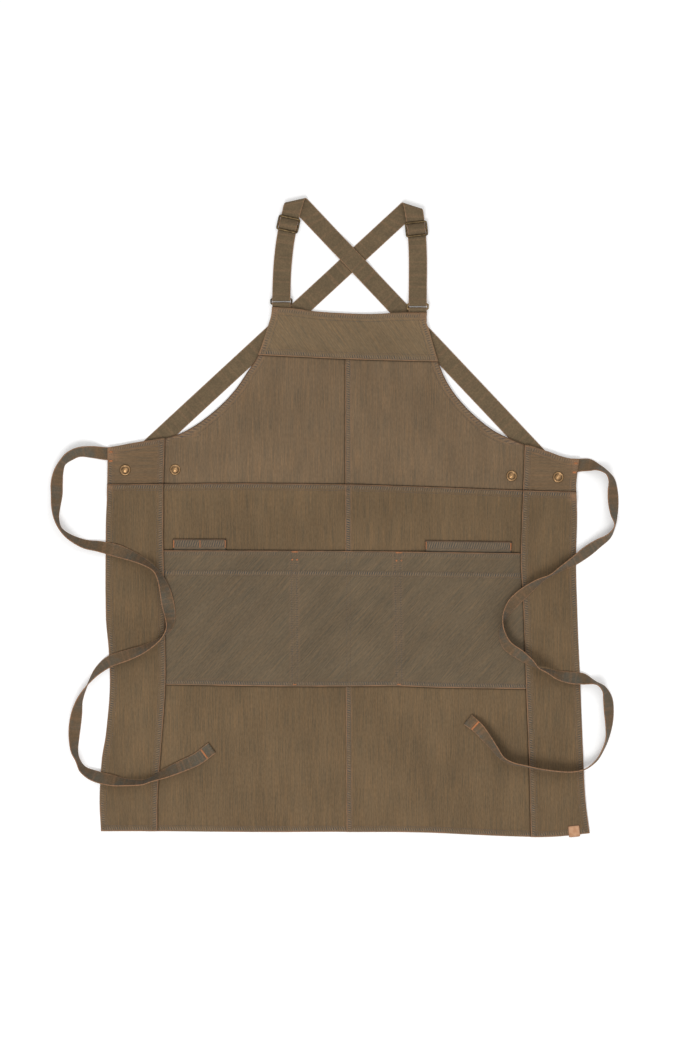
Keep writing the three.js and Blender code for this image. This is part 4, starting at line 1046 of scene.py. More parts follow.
def twill(name, turn_degrees, ground):
    material, tree, shader, place = new_material(name)
    stripes = place_group(
        tree, PINSTRIPE, [("Vector", place)],
        [("Turn", math.radians(turn_degrees)), ("Ground", ground + (1,)),
         ("Warm", yarn_shade(ground, 1.15, 0.07)), ("Cool", yarn_shade(ground, 0.84, -0.08))],
    )
    masks = [(label, mask_value(tree, label.lower())) for label in ("Band", "Edge", "Run", "Shade")]
    # Wash wear, with painted shade beside laps
    wear_and_shade = place_group(tree, WEAR_AND_SHADE, [("Color", stripes.outputs["Color"]), ("Vector", place)] + masks)
    weave = place_group(tree, WEAVE, [("Vector", place)])
    ridges = product(tree, wear_and_shade.outputs["Height"], 1.4)
    height = total(tree, stripes.outputs["Height"], weave.outputs["Height"], ridges)
    tree.links.new(wear_and_shade.outputs["Color"], shader.inputs["Base Color"])
    tree.links.new(wear_and_shade.outputs["Roughness"], shader.inputs["Roughness"])
    bump_into(tree, shader, height, 0.0002, 0.55)
    shader.inputs["Specular IOR Level"].default_value = 0.15
    shader.inputs["Sheen Weight"].default_value = 0.05
    shader.inputs["Sheen Roughness"].default_value = 0.6
    return material


def band_cloth(name, base, second, worn, rib_length, edge_width):
    """Narrow woven cloth: ribs across, worn edges, from the strip's own along and across masks."""
    material, tree, shader, place = new_material(name)
    along = mask_value(tree, "along")
    across = mask_value(tree, "across")
    ribs = math_node(tree, "SINE", product(tree, along, 2 * math.pi / rib_length))
    ribs = product(tree, total(tree, ribs, 1.0), 0.5)
    yarns = math_node(tree, "SINE", product(tree, across, 55.0))
    fade = noise(tree, place, 45, 3.0)
    speck = noise(tree, place, 420, 2.0)
    streak = noise(tree, along, 160, 2.0, one_way=True)
    colour = blend_colour(tree, span(tree, fade, 0.35, 0.65), base, second)
    colour = blend_colour(tree, span(tree, streak, 0.45, 0.7, 0, 0.2), colour, worn)
    dark = product(tree, span(tree, speck, 0.4, 0.62, 1, 0), 0.24)
    colour = blend_colour(tree, dark, colour, (0.045, 0.036, 0.024))
    edge = span(tree, math_node(tree, "ABSOLUTE", across), 1 - edge_width, 1.0)
    rub = product(tree, edge, span(tree, speck, 0.35, 0.6, 0.45, 1.0))
    tree.links.new(blend_colour(tree, rub, colour, worn), shader.inputs["Base Color"])
    shader.inputs["Roughness"].default_value = 0.9
    shader.inputs["Specular IOR Level"].default_value = 0.15
    shader.inputs["Sheen Weight"].default_value = 0.05
    height = total(tree, product(tree, ribs, 0.7), product(tree, yarns, 0.25), product(tree, speck, 0.5))
    bump_into(tree, shader, height, 0.0003, 0.7)
    return material


def brass(name, aged, bare_and_highlight_colour):
    """Antique metal: dark all over, bright where its mask says so: the snaps' bare copper centres, and
    painted highlights on the right ring, the sliders' end bars and the snaps' rims.
    """
    material, tree, shader, place = new_material(name)
    patina = noise(tree, place, 260, 4.0)
    scratch = noise(tree, place, 900, 2.0, stretch=(1, 0.2, 1))
    spots = span(tree, patina, 0.38, 0.62, 0, 0.5)
    aged_colour = blend_colour(tree, spots, aged, yarn_shade(aged, 1.9, 0.05)[:3])
    patchiness = span(tree, patina, 0.3, 0.6, 0.55, 1.0)
    bare_metal_and_highlight = math_node(tree, "MULTIPLY", mask_value(tree, "bare_metal_and_highlight"), patchiness, clamp=True)
    tree.links.new(blend_colour(tree, bare_metal_and_highlight, aged_colour, bare_and_highlight_colour), shader.inputs["Base Color"])
    tree.links.new(span(tree, patina, 0.3, 0.7, 0.5, 0.3), shader.inputs["Roughness"])
    shader.inputs["Metallic"].default_value = 1.0
    bump_into(tree, shader, scratch, 0.00005, 0.5)
    return material


def leather():
    material, tree, shader, place = new_material("tan leather")
    cells = tree.nodes.new("ShaderNodeTexVoronoi")
    cells.inputs["Scale"].default_value = 1500
    tree.links.new(place, cells.inputs["Vector"])
    cloud = noise(tree, place, 120, 3.0)
    colour = blend_colour(tree, span(tree, cloud, 0.3, 0.7), (0.42, 0.2, 0.095), (0.56, 0.32, 0.18))
    dark_edge = product(tree, mask_value(tree, "edge"), 0.7)
    colour = blend_colour(tree, dark_edge, colour, (0.2, 0.09, 0.045))
    tree.links.new(colour, shader.inputs["Base Color"])
    tree.links.new(span(tree, cloud, 0.3, 0.7, 0.55, 0.75), shader.inputs["Roughness"])
    bump_into(tree, shader, cells.outputs["Distance"], 0.0002, 0.6)
    return material


def thread(name, colour, second):
    material, tree, shader, place = new_material(name)
    fade = noise(tree, place, 60, 3.0)
    twist = noise(tree, place, 3000, 1.0)
    mixed = blend_colour(tree, span(tree, fade, 0.35, 0.65), colour, second)
    tree.links.new(mixed, shader.inputs["Base Color"])
    shader.inputs["Roughness"].default_value = 0.7
    shader.inputs["Sheen Weight"].default_value = 0.2
    bump_into(tree, shader, twist, 0.0001, 0.5)
    return material


MATERIALS = {
    "body": twill("body twill", 0, (0.147, 0.097, 0.0515)),
    "bib": twill("bib twill", 0, (0.172, 0.115, 0.066)),
    "yoke": twill("yoke twill", -36, (0.184, 0.127, 0.071)),
    "upper_side": twill("upper side twill", 90, (0.165, 0.107, 0.059)),
    "pocket": twill("pocket twill", 42, (0.134, 0.098, 0.06)),
    "welt": twill("welt twill", 60, (0.132, 0.1, 0.066)),
    "strap": band_cloth(
        "strap cloth", (0.147, 0.105, 0.059), (0.17, 0.119, 0.066), (0.32, 0.18, 0.1),
        rib_length=0.0016, edge_width=0.13,
    ),
    "tie": band_cloth(
        "tie cloth", (0.155, 0.1, 0.055), (0.118, 0.1, 0.072), (0.34, 0.18, 0.095),
        rib_length=0.0013, edge_width=0.2,
    ),
    "brass": brass("antique brass", (0.03, 0.02, 0.012), (0.42, 0.29, 0.14)),
    "snap": brass("antique copper", (0.13, 0.08, 0.042), (0.66, 0.4, 0.19)),
    "leather": leather(),
    "thread": thread("seam thread", (0.17, 0.105, 0.055), (0.105, 0.092, 0.07)),
    "bartack": thread("orange thread", (0.5, 0.18, 0.055), (0.38, 0.16, 0.06)),
}

# Each panel's material, slot and the pieces that it rests on
PANEL_LOOKS = {
    "bib_left": ("bib", "upper_twill", ["strap_right"]),
    "bib_right": ("bib", "upper_twill", ["strap_left", "bib_left"]),
    "upper_side_left": ("upper_side", "upper_twill", ["strap_right", "bib_left"]),
    "upper_side_right": ("upper_side", "upper_twill", ["strap_left", "bib_right"]),
    "bib_yoke": ("yoke", "upper_twill", ["bib_left", "bib_right"]),
    "skirt_left": ("body", "body_twill", ["bib_left"]),
    "skirt_right": ("body", "body_twill", ["bib_right"]),
    "side_left": ("body", "body_twill", ["skirt_left", "big_pocket"]),
    "side_right": ("body", "body_twill", ["skirt_right", "big_pocket"]),
    "pen_pocket": ("welt", "pocket_twill", ["skirt_left"]),
    "towel_pocket": ("welt", "pocket_twill", ["skirt_right"]),
    "big_pocket": ("pocket", "pocket_twill", ["skirt_left", "skirt_right"]),
}
for panel, (look, slot_name, rests_on) in PANEL_LOOKS.items():
    mesh, flat_size, flat_area = panel_mesh(panel)
    piece = add_piece(f"cloth_{panel}", mesh, MATERIALS[look], [panel])

body_surface = BVHTree.FromPolygons(
    np.concatenate(top_surfaces["points"]).tolist(), np.concatenate(top_surfaces["faces"]).tolist(),
)
RAY_HEIGHT = 60


def cloth_top(x, y, surface=body_surface):
    hit = surface.ray_cast(Vector((x, y, RAY_HEIGHT)), Vector((0, 0, -1)))
    return 0.0 if hit[0] is None else hit[0].z


# Flat strips: straps, tabs and ties
LEAST_STATION_STEP = 0.05


def resample(values, lengths, step):
    """Smoothly spaced points along a run of stations."""
    count = max(2, round(lengths[-1] / step))
    where = np.linspace(0, lengths[-1], count + 1)
    parts = [
        smooth_line(list(zip(lengths, values[:, part])))(where) for part in range(values.shape[1])
    ]
    return np.stack(parts, axis=1), where


def strip_mesh(name, stations, outline, step, thicker=None):
    """A closed strip through stations (left, right, left out, right out), with a shaped outline."""
    stations = np.array(stations)
    left, right = stations[:, 0], stations[:, 1]
    middle_steps = np.linalg.norm(np.diff((left + right) / 2, axis=0), axis=1)
    left_steps = np.linalg.norm(np.diff(left, axis=0), axis=1)
    steps = np.maximum(np.maximum(middle_steps, left_steps / 2), LEAST_STATION_STEP)
    lengths = np.concatenate([[0], np.cumsum(steps)])
    packed, where = resample(stations.reshape(len(stations), -1), lengths, step)
    left, right, left_out, right_out = np.split(packed, 4, axis=1)
    scale = np.ones(len(where)) if thicker is None else thicker(where, lengths[-1])
    points = []
    for side, out in outline:
        share = (side + 1) / 2
        direction = mix(left_out, right_out, share)
        direction = direction / np.linalg.norm(direction, axis=1)[:, None]
        lift = out * scale if out > 0 else np.full(len(where), out)
        points.append(mix(left, right, share) + direction * lift[:, None])
    turns = len(outline)
    points = np.stack(points, axis=1).reshape(-1, 3)
    mesh = write_mesh(name, points, tube_faces(len(where), turns))
    add_masks(mesh, {
        "along": np.repeat(where * MM, turns),
        "across": np.tile([side for side, _ in outline], len(where)),
    })
    return mesh, (left + right) / 2


def strip_outline(thickness, edge_roll):
    """The cross section of a woven strip: flat faces and slightly thicker rolled edges."""
    half = thickness / 2
    face = half - edge_roll
    upper = [(-1, 0), (-0.985, half * 0.7), (-0.94, half), (-0.88, face), (-0.45, face), (0, face)]
    upper += [(-side, out) for side, out in reversed(upper[:-1])]
    lower = [(side, -out) for side, out in reversed(upper[1:-1])]
    return upper + lower


def stations_along(points, sides, width):
    points = np.asarray(points, dtype=float)
    sides = np.asarray(sides, dtype=float)
    ahead = np.zeros_like(points)
    unit = np.diff(points, axis=0)
    unit = unit / np.linalg.norm(unit, axis=1)[:, None]
    ahead[:-1] += unit
    ahead[1:] += unit
    out = np.cross(sides, ahead)
    out = out / np.linalg.norm(out, axis=1)[:, None]
    return [
        (point - side * width / 2, point + side * width / 2, o, o)
        for point, side, o in zip(points, sides, out)
    ]


def flat(angle):
    return np.array([math.cos(angle), math.sin(angle), 0.0])


def node_centre(node):
    low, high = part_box(node)
    return (Vector(low) + Vector(high)) / 2 / MM


# Each strap: where it leaves the shoulder fold, as shares, its lean there, and what it crosses and meets
STRAPS = {
    "left": {
        "exit_across": -0.657, "exit_up": 0.967, "lean": 72, "over": True, "snap": "snap_outer_right",
    },
    "right": {
        "exit_across": 0.768, "exit_up": 0.922, "lean": 101.5, "over": False, "snap": "snap_outer_left",
    },
}
for side, strap in STRAPS.items():
    strap["exit"] = np.array([
        BIB_TOP_CENTRE + strap["exit_across"] * HALF_TOP,
        float(yoke_top(0)) + strap["exit_up"] * SHOULDER_RISE, 0,
    ])
    place = node_centre(strap["snap"])
    strap["snap_at"] = np.array([place.x, place.y, 0])
    toward = strap["snap_at"] - strap["exit"]
    strap["down"] = math.atan2(toward[1], toward[0])
    strap["up"] = math.radians(strap["lean"])
    bar_y = float(yoke_top(ring_x[side])) + RING_STAND_OFF
    strap["tab_bar"] = np.array([ring_x[side], bar_y, 0])
    strap["ring_bar"] = np.array([ring_x[side], bar_y + WIRE + RING_WINDOW, 0])
    strap["axis"] = flat((strap["up"] + strap["down"]) / 2)
    strap["beyond"] = flat((strap["up"] + strap["down"]) / 2 + math.pi / 2)
    if strap["beyond"][1] < 0:
        strap["beyond"] = -strap["beyond"]
    upward = flat(strap["up"])
    strap["roll_run"] = math.pi * FOLD_RADIUS / float(upward @ strap["beyond"])
    strap["start"] = strap["exit"] - strap["axis"] * strap["roll_run"] * float(upward @ strap["axis"])


def strap_plan(strap, run):
    """Plan place and side direction at a run from the ring's bar towards the shoulder fold."""
    chord = np.linalg.norm(strap["start"] - strap["ring_bar"])

    def at(distance):
        t = distance / chord
        return (
            strap["ring_bar"] * (2 * t ** 3 - 3 * t ** 2 + 1)
            + np.array([0, chord, 0]) * (t ** 3 - 2 * t ** 2 + t)
            + strap["start"] * (3 * t ** 2 - 2 * t ** 3)
            + flat(strap["up"]) * chord * (t ** 3 - t ** 2)
        )

    ahead = at(run + 1) - at(run - 1)
    ahead = ahead / np.linalg.norm(ahead)
    return at(run), np.array([ahead[1], -ahead[0], 0])


TURN_STEPS = 9
ROLL_STEPS = 14
CROSSING_REACH = STRAP_WIDTH / 2 + 4


def threaded_stations(strap):
    """From under the slider down to the ring, round its bar and up again through the slider."""
    low = STRAP_THICKNESS / 2
    clear = SLIDER_THICKNESS / 2 + GAP + STRAP_THICKNESS / 2
    under, over = SLIDER_HEIGHT - clear, SLIDER_HEIGHT + clear
    inner = SLIDER_BAR / 2 + SLIDER_WINDOW
    reach = SLIDER_BAR * 1.5 + SLIDER_WINDOW
    half_bar = SLIDER_BAR / 2
    below = [(half_bar, under), (-half_bar, under), (-inner, low)]
    above = [
        (-reach, under), (-inner + GAP, under), (-half_bar - GAP, over), (half_bar + GAP, over),
        (inner - GAP, under), (reach, under),
    ]
    points = []
    sides = []

    def add(run, height):
        plan, across = strap_plan(strap, run)
        points.append([plan[0], plan[1], height])
        sides.append(across)

    for past, height in below:
        add(SLIDER_REACH + past, height)
    for share in (0.7, 0.4, 0.12):
        add(SLIDER_REACH * share, low)
    turn_side = strap_plan(strap, 0)[1]
    for i in range(TURN_STEPS + 1):
        angle = -math.pi / 2 - math.pi * i / TURN_STEPS
        points.append([
            strap["ring_bar"][0], strap["ring_bar"][1] + STRAP_TURN * math.cos(angle),
            RING_HEIGHT + STRAP_TURN * math.sin(angle),
        ])
        sides.append(turn_side)
    for share in (0.22, 0.45, 0.7):
        add(SLIDER_REACH * share, under)
    for past, height in above:
        add(SLIDER_REACH + past, height)
    return stations_along(points, sides, STRAP_WIDTH)


def back_profile(strap, other):
    """The back run from the shoulder fold to the snap: how far along, and how high there."""
    a, b = flat(strap["down"]), flat(other["down"])
    apart = other["exit"] - strap["exit"]
    cross_run = (apart[0] * b[1] - apart[1] * b[0]) / (a[0] * b[1] - a[1] * b[0])
    end_run = float(np.linalg.norm(strap["snap_at"] - strap["exit"]))
    before, after = cross_run - CROSSING_REACH, cross_run + CROSSING_REACH
    if strap["over"]:
        profile = [(before - RISE_LENGTH, 0), (before, LAYER_STEP), (after, LAYER_STEP)]
        profile.append((after + RISE_LENGTH, 0))
    else:
        profile = [(before, 0), (after, 0)]
    profile += [(mix(after + RISE_LENGTH, end_run, share), 0) for share in (0.4, 0.7)]
    return profile + [
        (end_run - SNAP_RADIUS - 1.4 * RISE_LENGTH, 0),
        (end_run - SNAP_RADIUS - RISE_LENGTH / 4, SNAP_STRAP_BASE),
        (end_run + STRAP_END, SNAP_STRAP_BASE),
    ]


def strap_stations(side):
    """A whole strap: threaded through ring and slider, rolled over the shoulder, down to its snap."""
    strap = STRAPS[side]
    other = STRAPS["right" if side == "left" else "left"]
    stations = threaded_stations(strap)
    upward = flat(strap["up"])
    axis, beyond = strap["axis"], strap["beyond"]
    in_side = np.array([upward[1], -upward[0], 0])
    skew = float(in_side @ beyond) / float(upward @ beyond) * STRAP_WIDTH / 2

    def rolled(run, sideways, lift):
        """A point of the strap laid on the fold: up to the crease, round it, and back below."""
        offset = upward * run + in_side * sideways
        depth = float(offset @ beyond)
        turn = min(max(depth / FOLD_RADIUS, 0), math.pi)
        straight = depth if depth < 0 else -max(depth - math.pi * FOLD_RADIUS, 0)
        point = strap["start"] + axis * float(offset @ axis)
        point = point + beyond * (straight + FOLD_RADIUS * math.sin(turn))
        point[2] = STRAP_THICKNESS / 2 + FOLD_RADIUS * (1 + math.cos(turn)) + lift
        out = beyond * math.sin(turn)
        out[2] = math.cos(turn)
        return point, out

    def add_rolled(run, lift, lean):
        left_point, left_out = rolled(run + lean * skew, -STRAP_WIDTH / 2, lift)
        right_point, right_out = rolled(run - lean * skew, STRAP_WIDTH / 2, lift)
        stations.append((left_point, right_point, left_out, right_out))

    for i in range(ROLL_STEPS + 1):
        add_rolled(strap["roll_run"] * i / ROLL_STEPS, 0, 1)
    for run, height in back_profile(strap, other):
        add_rolled(strap["roll_run"] + run, height, 0)
    return stations


STRAP_STEP = 1.2
TIE_STEP = 2.5
STRAP_ROLL = 0.16
TAB_ROLL = 0.1
TIE_ROLL = 0.14
for side in STRAPS:
    outline = strip_outline(STRAP_THICKNESS, STRAP_ROLL)
    mesh, _ = strip_mesh(f"strap_{side}", strap_stations(side), outline, STRAP_STEP)
    add_piece(f"cloth_strap_{side}", mesh, MATERIALS["strap"], [f"strap_{side}"])


def tab_stations(side):
    bar = STRAPS[side]["tab_bar"]
    leg_end = -RING_STAND_OFF - TAB_DEPTH
    neck = -TAB_TURN * 1.9
    opening = 2.2
    profile = [(leg_end, TAB_LEG_LOW - RING_HEIGHT), (neck, TAB_LEG_LOW - RING_HEIGHT)]
    for i in range(TURN_STEPS + 1):
        angle = mix(-opening, opening, i / TURN_STEPS)
        profile.append((TAB_TURN * math.cos(angle), TAB_TURN * math.sin(angle)))
    profile += [(neck, TAB_LEG_HIGH - RING_HEIGHT), (leg_end, TAB_LEG_HIGH - RING_HEIGHT)]
    points = [[bar[0], bar[1] + along, RING_HEIGHT + up] for along, up in profile]
    return stations_along(points, [[1, 0, 0]] * len(points), STRAP_WIDTH)


for side in STRAPS:
    mesh, _ = strip_mesh(f"tab_{side}", tab_stations(side), strip_outline(TAB_CLOTH, TAB_ROLL), STRAP_STEP)
    add_piece(f"cloth_tab_{side}", mesh, MATERIALS["strap"], [f"tab_{side}"])

# Waist ties: [x, y, height of the lower edge, tilt in degrees about the ribbon's own line].
# Each starts under the body's upper corner. A tilt over 90 leans over to the other side.
TIE_LEFT = [
    [-357, 99, 0.6, 2], [-373, 100, 0.6, 2], [-391, 102, 0.4, 25], [-411, 102, 0.2, 45],
    [-425, 96, 0.2, 50], [-437, 85, 0.2, 65], [-443, 71, 0.2, 50], [-446, 54, 0.2, 30],
    [-446, 36, 0.2, 35], [-447, 17, 0.2, 55], [-446, 0, 0.2, 75], [-440, -16, 0.2, 85],
    [-426, -29, 0.2, 70], [-403, -40, 0.4, 50], [-380, -44, 2, 35], [-352, -51, 2.6, 15],
    [-332, -58, 2.6, 40], [-312, -67, 3.4, 60], [-294, -79, 6.2, 75], [-285, -92, 6.2, 65],
    [-278, -112, 6.2, 40], [-274, -132, 6.2, 15], [-270, -152, 6.2, 40], [-271, -169, 6.2, 65],
    [-279, -181, 6.2, 88], [-291, -191, 6.2, 105], [-312, -203, 4.6, 125], [-336, -212, 3.2, 145],
    [-364, -222, 2.4, 150], [-383, -237, 0.8, 125], [-395, -253, 0.2, 100], [-405, -270, 0.2, 80],
    [-411, -284, 0.2, 65], [-415, -302, 0.2, 40], [-418, -322, 0.2, 30], [-419, -341, 0.2, 45],
    [-418, -360, 0.2, 65], [-413, -374, 0.6, 80], [-405, -388, 2, 65], [-388, -398, 4.2, 40],
    [-361, -405, 4.6, 40], [-338, -408, 4.6, 65], [-313, -408, 4.6, 75], [-298, -403, 4.8, 75],
    [-277, -394, 4.8, 50], [-251, -383, 3.4, 30], [-229, -373, 2.6, 15], [-206, -356, 2.4, 0],
]
TIE_RIGHT = [
    [351, 80, 0.6, 2], [366, 82, 0.6, 2], [379, 82, 0.3, 20], [390, 79, 0.2, 55],
    [404, 71, 0.2, 70], [412, 59, 0.2, 55], [414, 43, 0.2, 35], [415, 25, 0.2, 30],
    [416, 6, 0.2, 50], [417, -12, 0.2, 80], [408, -28, 0.2, 65], [392, -39, 0.2, 45],
    [374, -52, 1.2, 30], [353, -67, 2.4, 45], [333, -79, 2.4, 65], [316, -89, 4.2, 80],
    [298, -99, 6.2, 60], [277, -115, 6.2, 35], [259, -132, 6.2, 32], [248, -149, 5.2, 60],
    [243, -164, 5.2, 90], [243, -180, 5.2, 120], [251, -197, 5.6, 138], [270, -211, 6.2, 140],
    [287, -223, 6.2, 118], [298, -231, 6.2, 92], [312, -236, 4.6, 75], [329, -243, 2.6, 50],
    [349, -247, 2.4, 25], [369, -249, 1.6, 35], [388, -255, 0.3, 80], [400, -264, 0.2, 65],
    [406, -279, 0.2, 40], [408, -298, 0.2, 35], [408, -319, 0.2, 50], [405, -341, 0.4, 70],
    [398, -359, 0.8, 75], [388, -375, 1.6, 76], [370, -388, 4, 80], [349, -392, 4.4, 82],
    [326, -391, 4.6, 82], [302, -388, 4.8, 80], [279, -383, 4.8, 80], [259, -379, 4.4, 76],
    [243, -371, 3.4, 72], [231, -356, 2.6, 60], [217, -338, 2.4, 42], [205, -324, 2.4, 28],
    [190, -312, 2.4, 0],
]
END_FOLD = 15
END_THICKNESS = 2.3


def tie_stations(table):
    table = np.array(table, dtype=float)
    tilt = np.radians(table[:, 3])
    points = table[:, :3].copy()
    points[:, 2] += TIE_WIDTH / 2 * np.sin(tilt) + TIE_THICKNESS / 2 * np.abs(np.cos(tilt))
    count = len(points)
    number = np.arange(count)
    ahead = points[np.minimum(number + 1, count - 1)] - points[np.maximum(number - 1, 0)]
    ahead[:, 2] = 0
    ahead = ahead / np.linalg.norm(ahead, axis=1)[:, None]
    sides = np.stack([ahead[:, 1] * np.cos(tilt), -ahead[:, 0] * np.cos(tilt), np.sin(tilt)], axis=1)
    return stations_along(points, sides, TIE_WIDTH)


def end_thickness(where, length):
    return 1 + (END_THICKNESS - 1) * ease((where - length + END_FOLD) / 2.0)


tie_lines = {}
tie_surfaces = {}
for side, table in (("left", TIE_LEFT), ("right", TIE_RIGHT)):
    mesh, line = strip_mesh(
        f"tie_{side}", tie_stations(table), strip_outline(TIE_THICKNESS, TIE_ROLL), TIE_STEP,
        end_thickness,
    )
    piece = add_piece(f"cloth_tie_{side}", mesh, MATERIALS["tie"], [f"tie_{side}"])
    tie_lines[side] = line
    tie_points = np.zeros(3 * len(mesh.vertices))
    mesh.vertices.foreach_get("co", tie_points)
    tie_surfaces[side] = BVHTree.FromPolygons(
        (tie_points.reshape(-1, 3) / MM).tolist(), [tuple(face.vertices) for face in mesh.polygons],
    )


# Hardware
def ring_tube(points, half_width, half_height, turns=10):
    """A closed bar along a closed flat path, with an oval section."""
    points = np.asarray(points, dtype=float)
    ahead = np.roll(points, -1, axis=0) - np.roll(points, 1, axis=0)
    ahead = ahead / np.linalg.norm(ahead, axis=1)[:, None]
    outward = np.stack([ahead[:, 1], -ahead[:, 0], np.zeros(len(points))], axis=1)
    verts = []
    for k in range(turns):
        angle = 2 * math.pi * k / turns
        upward = np.array([0, 0, half_height * math.sin(angle)])
        verts.append(points + outward * half_width * math.cos(angle) + upward)
    verts = np.stack(verts, axis=1).reshape(-1, 3)
    return verts, [face[::-1] for face in tube_faces(len(points), turns, closed=True)]


def rounded_path(width, height, radius, steps=6):
    points = []
    for corner, (sx, sy) in enumerate(((1, -1), (1, 1), (-1, 1), (-1, -1))):
        for i in range(steps + 1):
            angle = math.pi / 2 * (corner - 1 + i / steps)
            points.append([
                sx * (width / 2 - radius) + radius * math.cos(angle),
                sy * (height / 2 - radius) + radius * math.sin(angle), 0,
            ])
    return points


def bar_tube(start, end, half_width, half_height, turns=10):
    """A straight bar with an oval section and closed ends."""
    start, end = np.asarray(start, dtype=float), np.asarray(end, dtype=float)
    ahead = (end - start) / np.linalg.norm(end - start)
    outward = np.array([ahead[1], -ahead[0], 0])
    verts = []
    for point in (start, end):
        for k in range(turns):
            angle = 2 * math.pi * k / turns
            upward = np.array([0, 0, half_height * math.sin(angle)])
            verts.append(point + outward * half_width * math.cos(angle) + upward)
    return np.array(verts), tube_faces(2, turns)


def placed(verts, angle, centre_at):
    turn = np.array([[math.cos(angle), -math.sin(angle)], [math.sin(angle), math.cos(angle)]])
    moved = np.array(verts, dtype=float)
    moved[:, :2] = moved[:, :2] @ turn.T
    return moved + np.asarray(centre_at)


INNER_WIDTH = STRAP_WIDTH + 2 * SIDE_PLAY
RING_CORNER = 1.8
SLIDER_CORNER = 2.2
# Round bars stay inside the solids' square ones, but the slider's sides are a little plumper
ROUND_SHARE = 0.95
SIDE_PLUMP = 1.3
# Painted highlight on each ring: strong on the right ring, its glint, faint on the left
RING_HIGHLIGHT = {"left": 0.15, "right": 0.9}
# Painted highlight along the tops of the sliders' end bars
SLIDER_HIGHLIGHT = 0.5


def ring_piece(side, strap):
    loop = rounded_path(INNER_WIDTH + WIRE, RING_WINDOW + WIRE, RING_CORNER)
    verts, faces = ring_tube(loop, WIRE / 2 * ROUND_SHARE, WIRE / 2 * ROUND_SHARE)
    middle = (strap["ring_bar"] + strap["tab_bar"]) / 2 + np.array([0, 0, RING_HEIGHT])
    mesh = write_mesh(f"ring_{side}", placed(verts, 0, middle), faces)
    add_masks(mesh, {"bare_metal_and_highlight": np.full(len(verts), RING_HIGHLIGHT[side])})
    add_piece(f"brass_ring_{side}", mesh, MATERIALS["brass"], [f"ring_{side}"])


def slider_piece(side, strap):
    outer = rounded_path(
        INNER_WIDTH + SLIDER_SIDE_BAR, 2 * (SLIDER_BAR + SLIDER_WINDOW), SLIDER_CORNER,
    )
    half_height = SLIDER_THICKNESS / 2
    verts, faces = ring_tube(outer, SLIDER_SIDE_BAR / 2 * SIDE_PLUMP, half_height)
    end = np.array([INNER_WIDTH / 2 + 1, 0, 0])
    bar, bar_faces = bar_tube(-end, end, SLIDER_BAR / 2, half_height * ROUND_SHARE)
    faces = faces + [tuple(v + len(verts) for v in face) for face in bar_faces]
    verts = np.concatenate([verts, bar])
    end_bars = np.abs(verts[:, 1]) > SLIDER_WINDOW
    # Painted highlight on the tops of the end bars
    bare_metal_and_highlight = SLIDER_HIGHLIGHT * end_bars * np.maximum(verts[:, 2] / half_height, 0) ** 4
    seat, across = strap_plan(strap, SLIDER_REACH)
    angle = math.atan2(across[1], across[0])
    seated = placed(verts, angle, (seat[0], seat[1], SLIDER_HEIGHT))
    mesh = write_mesh(f"slider_{side}", seated, faces)
    add_masks(mesh, {"bare_metal_and_highlight": bare_metal_and_highlight})
    add_piece(f"brass_slider_{side}", mesh, MATERIALS["brass"], [f"slider_{side}"])


for side, strap in STRAPS.items():
    ring_piece(side, strap)
    slider_piece(side, strap)

# Snap caps: rows of radius as a share of the cap's and height as a share of the cap's rise
SNAP_CAP = [
    (1, 0), (1.0, 0.3), (0.975, 0.5), (0.92, 0.68), (0.84, 0.74), (0.74, 0.7), (0.66, 0.56), (0.6, 0.4),
    (0.54, 0.36), (0.46, 0.36), (0.4, 0.4), (0.36, 0.52), (0.31, 0.74), (0.24, 0.9), (0.14, 0.98),
    (0.001, 1),
]
SNAP_CAP_RISE = 2.5
SNAP_FLANGE_RADIUS = 6
SNAP_POST_RADIUS = 2.2
SNAP_TURNS = 40
POINT_RADIUS = 0.001


def snap_mesh(node):
    low, high = (corner[2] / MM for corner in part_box(node))
    place = node_centre(node)
    seat = high - SNAP_CAP_RISE
    flange_top = low + SNAP_FLANGE
    outline = [
        (POINT_RADIUS, low), (SNAP_FLANGE_RADIUS, low), (SNAP_FLANGE_RADIUS, flange_top),
        (SNAP_POST_RADIUS, flange_top), (SNAP_POST_RADIUS, seat),
    ]
    outline += [(share * SNAP_RADIUS, seat + rise * SNAP_CAP_RISE) for share, rise in SNAP_CAP]
    verts = []
    for radius, height in outline:
        for k in range(SNAP_TURNS):
            angle = 2 * math.pi * k / SNAP_TURNS
            verts.append([place.x + radius * math.cos(angle), place.y + radius * math.sin(angle), height])
    mesh = write_mesh(node, verts, tube_faces(len(outline), SNAP_TURNS))
    shares = np.repeat([radius / SNAP_RADIUS for radius, _ in outline], SNAP_TURNS)
    # The cap's bare copper centre, and a painted highlight round its rim
    dome = 1 - ease((shares - 0.4) / 0.08)
    rim = 0.6 * bump_at(shares - 0.82, 0.1)
    add_masks(mesh, {"bare_metal_and_highlight": np.clip(dome + rim, 0, 1)})
    return mesh


for node in ("snap_outer_left", "snap_inner_left", "snap_inner_right", "snap_outer_right"):
    add_piece(f"brass_{node}", snap_mesh(node), MATERIALS["snap"], [node])


# The bare leather patch, with a pressed border
PATCH_SIDE = 17.5
PATCH_THICKNESS = 1.4
PATCH_TURN = math.radians(5)
PATCH_STEPS = 14
PATCH_CORNER_ROUND = 0.04
PATCH_BORDER_AT = 0.8


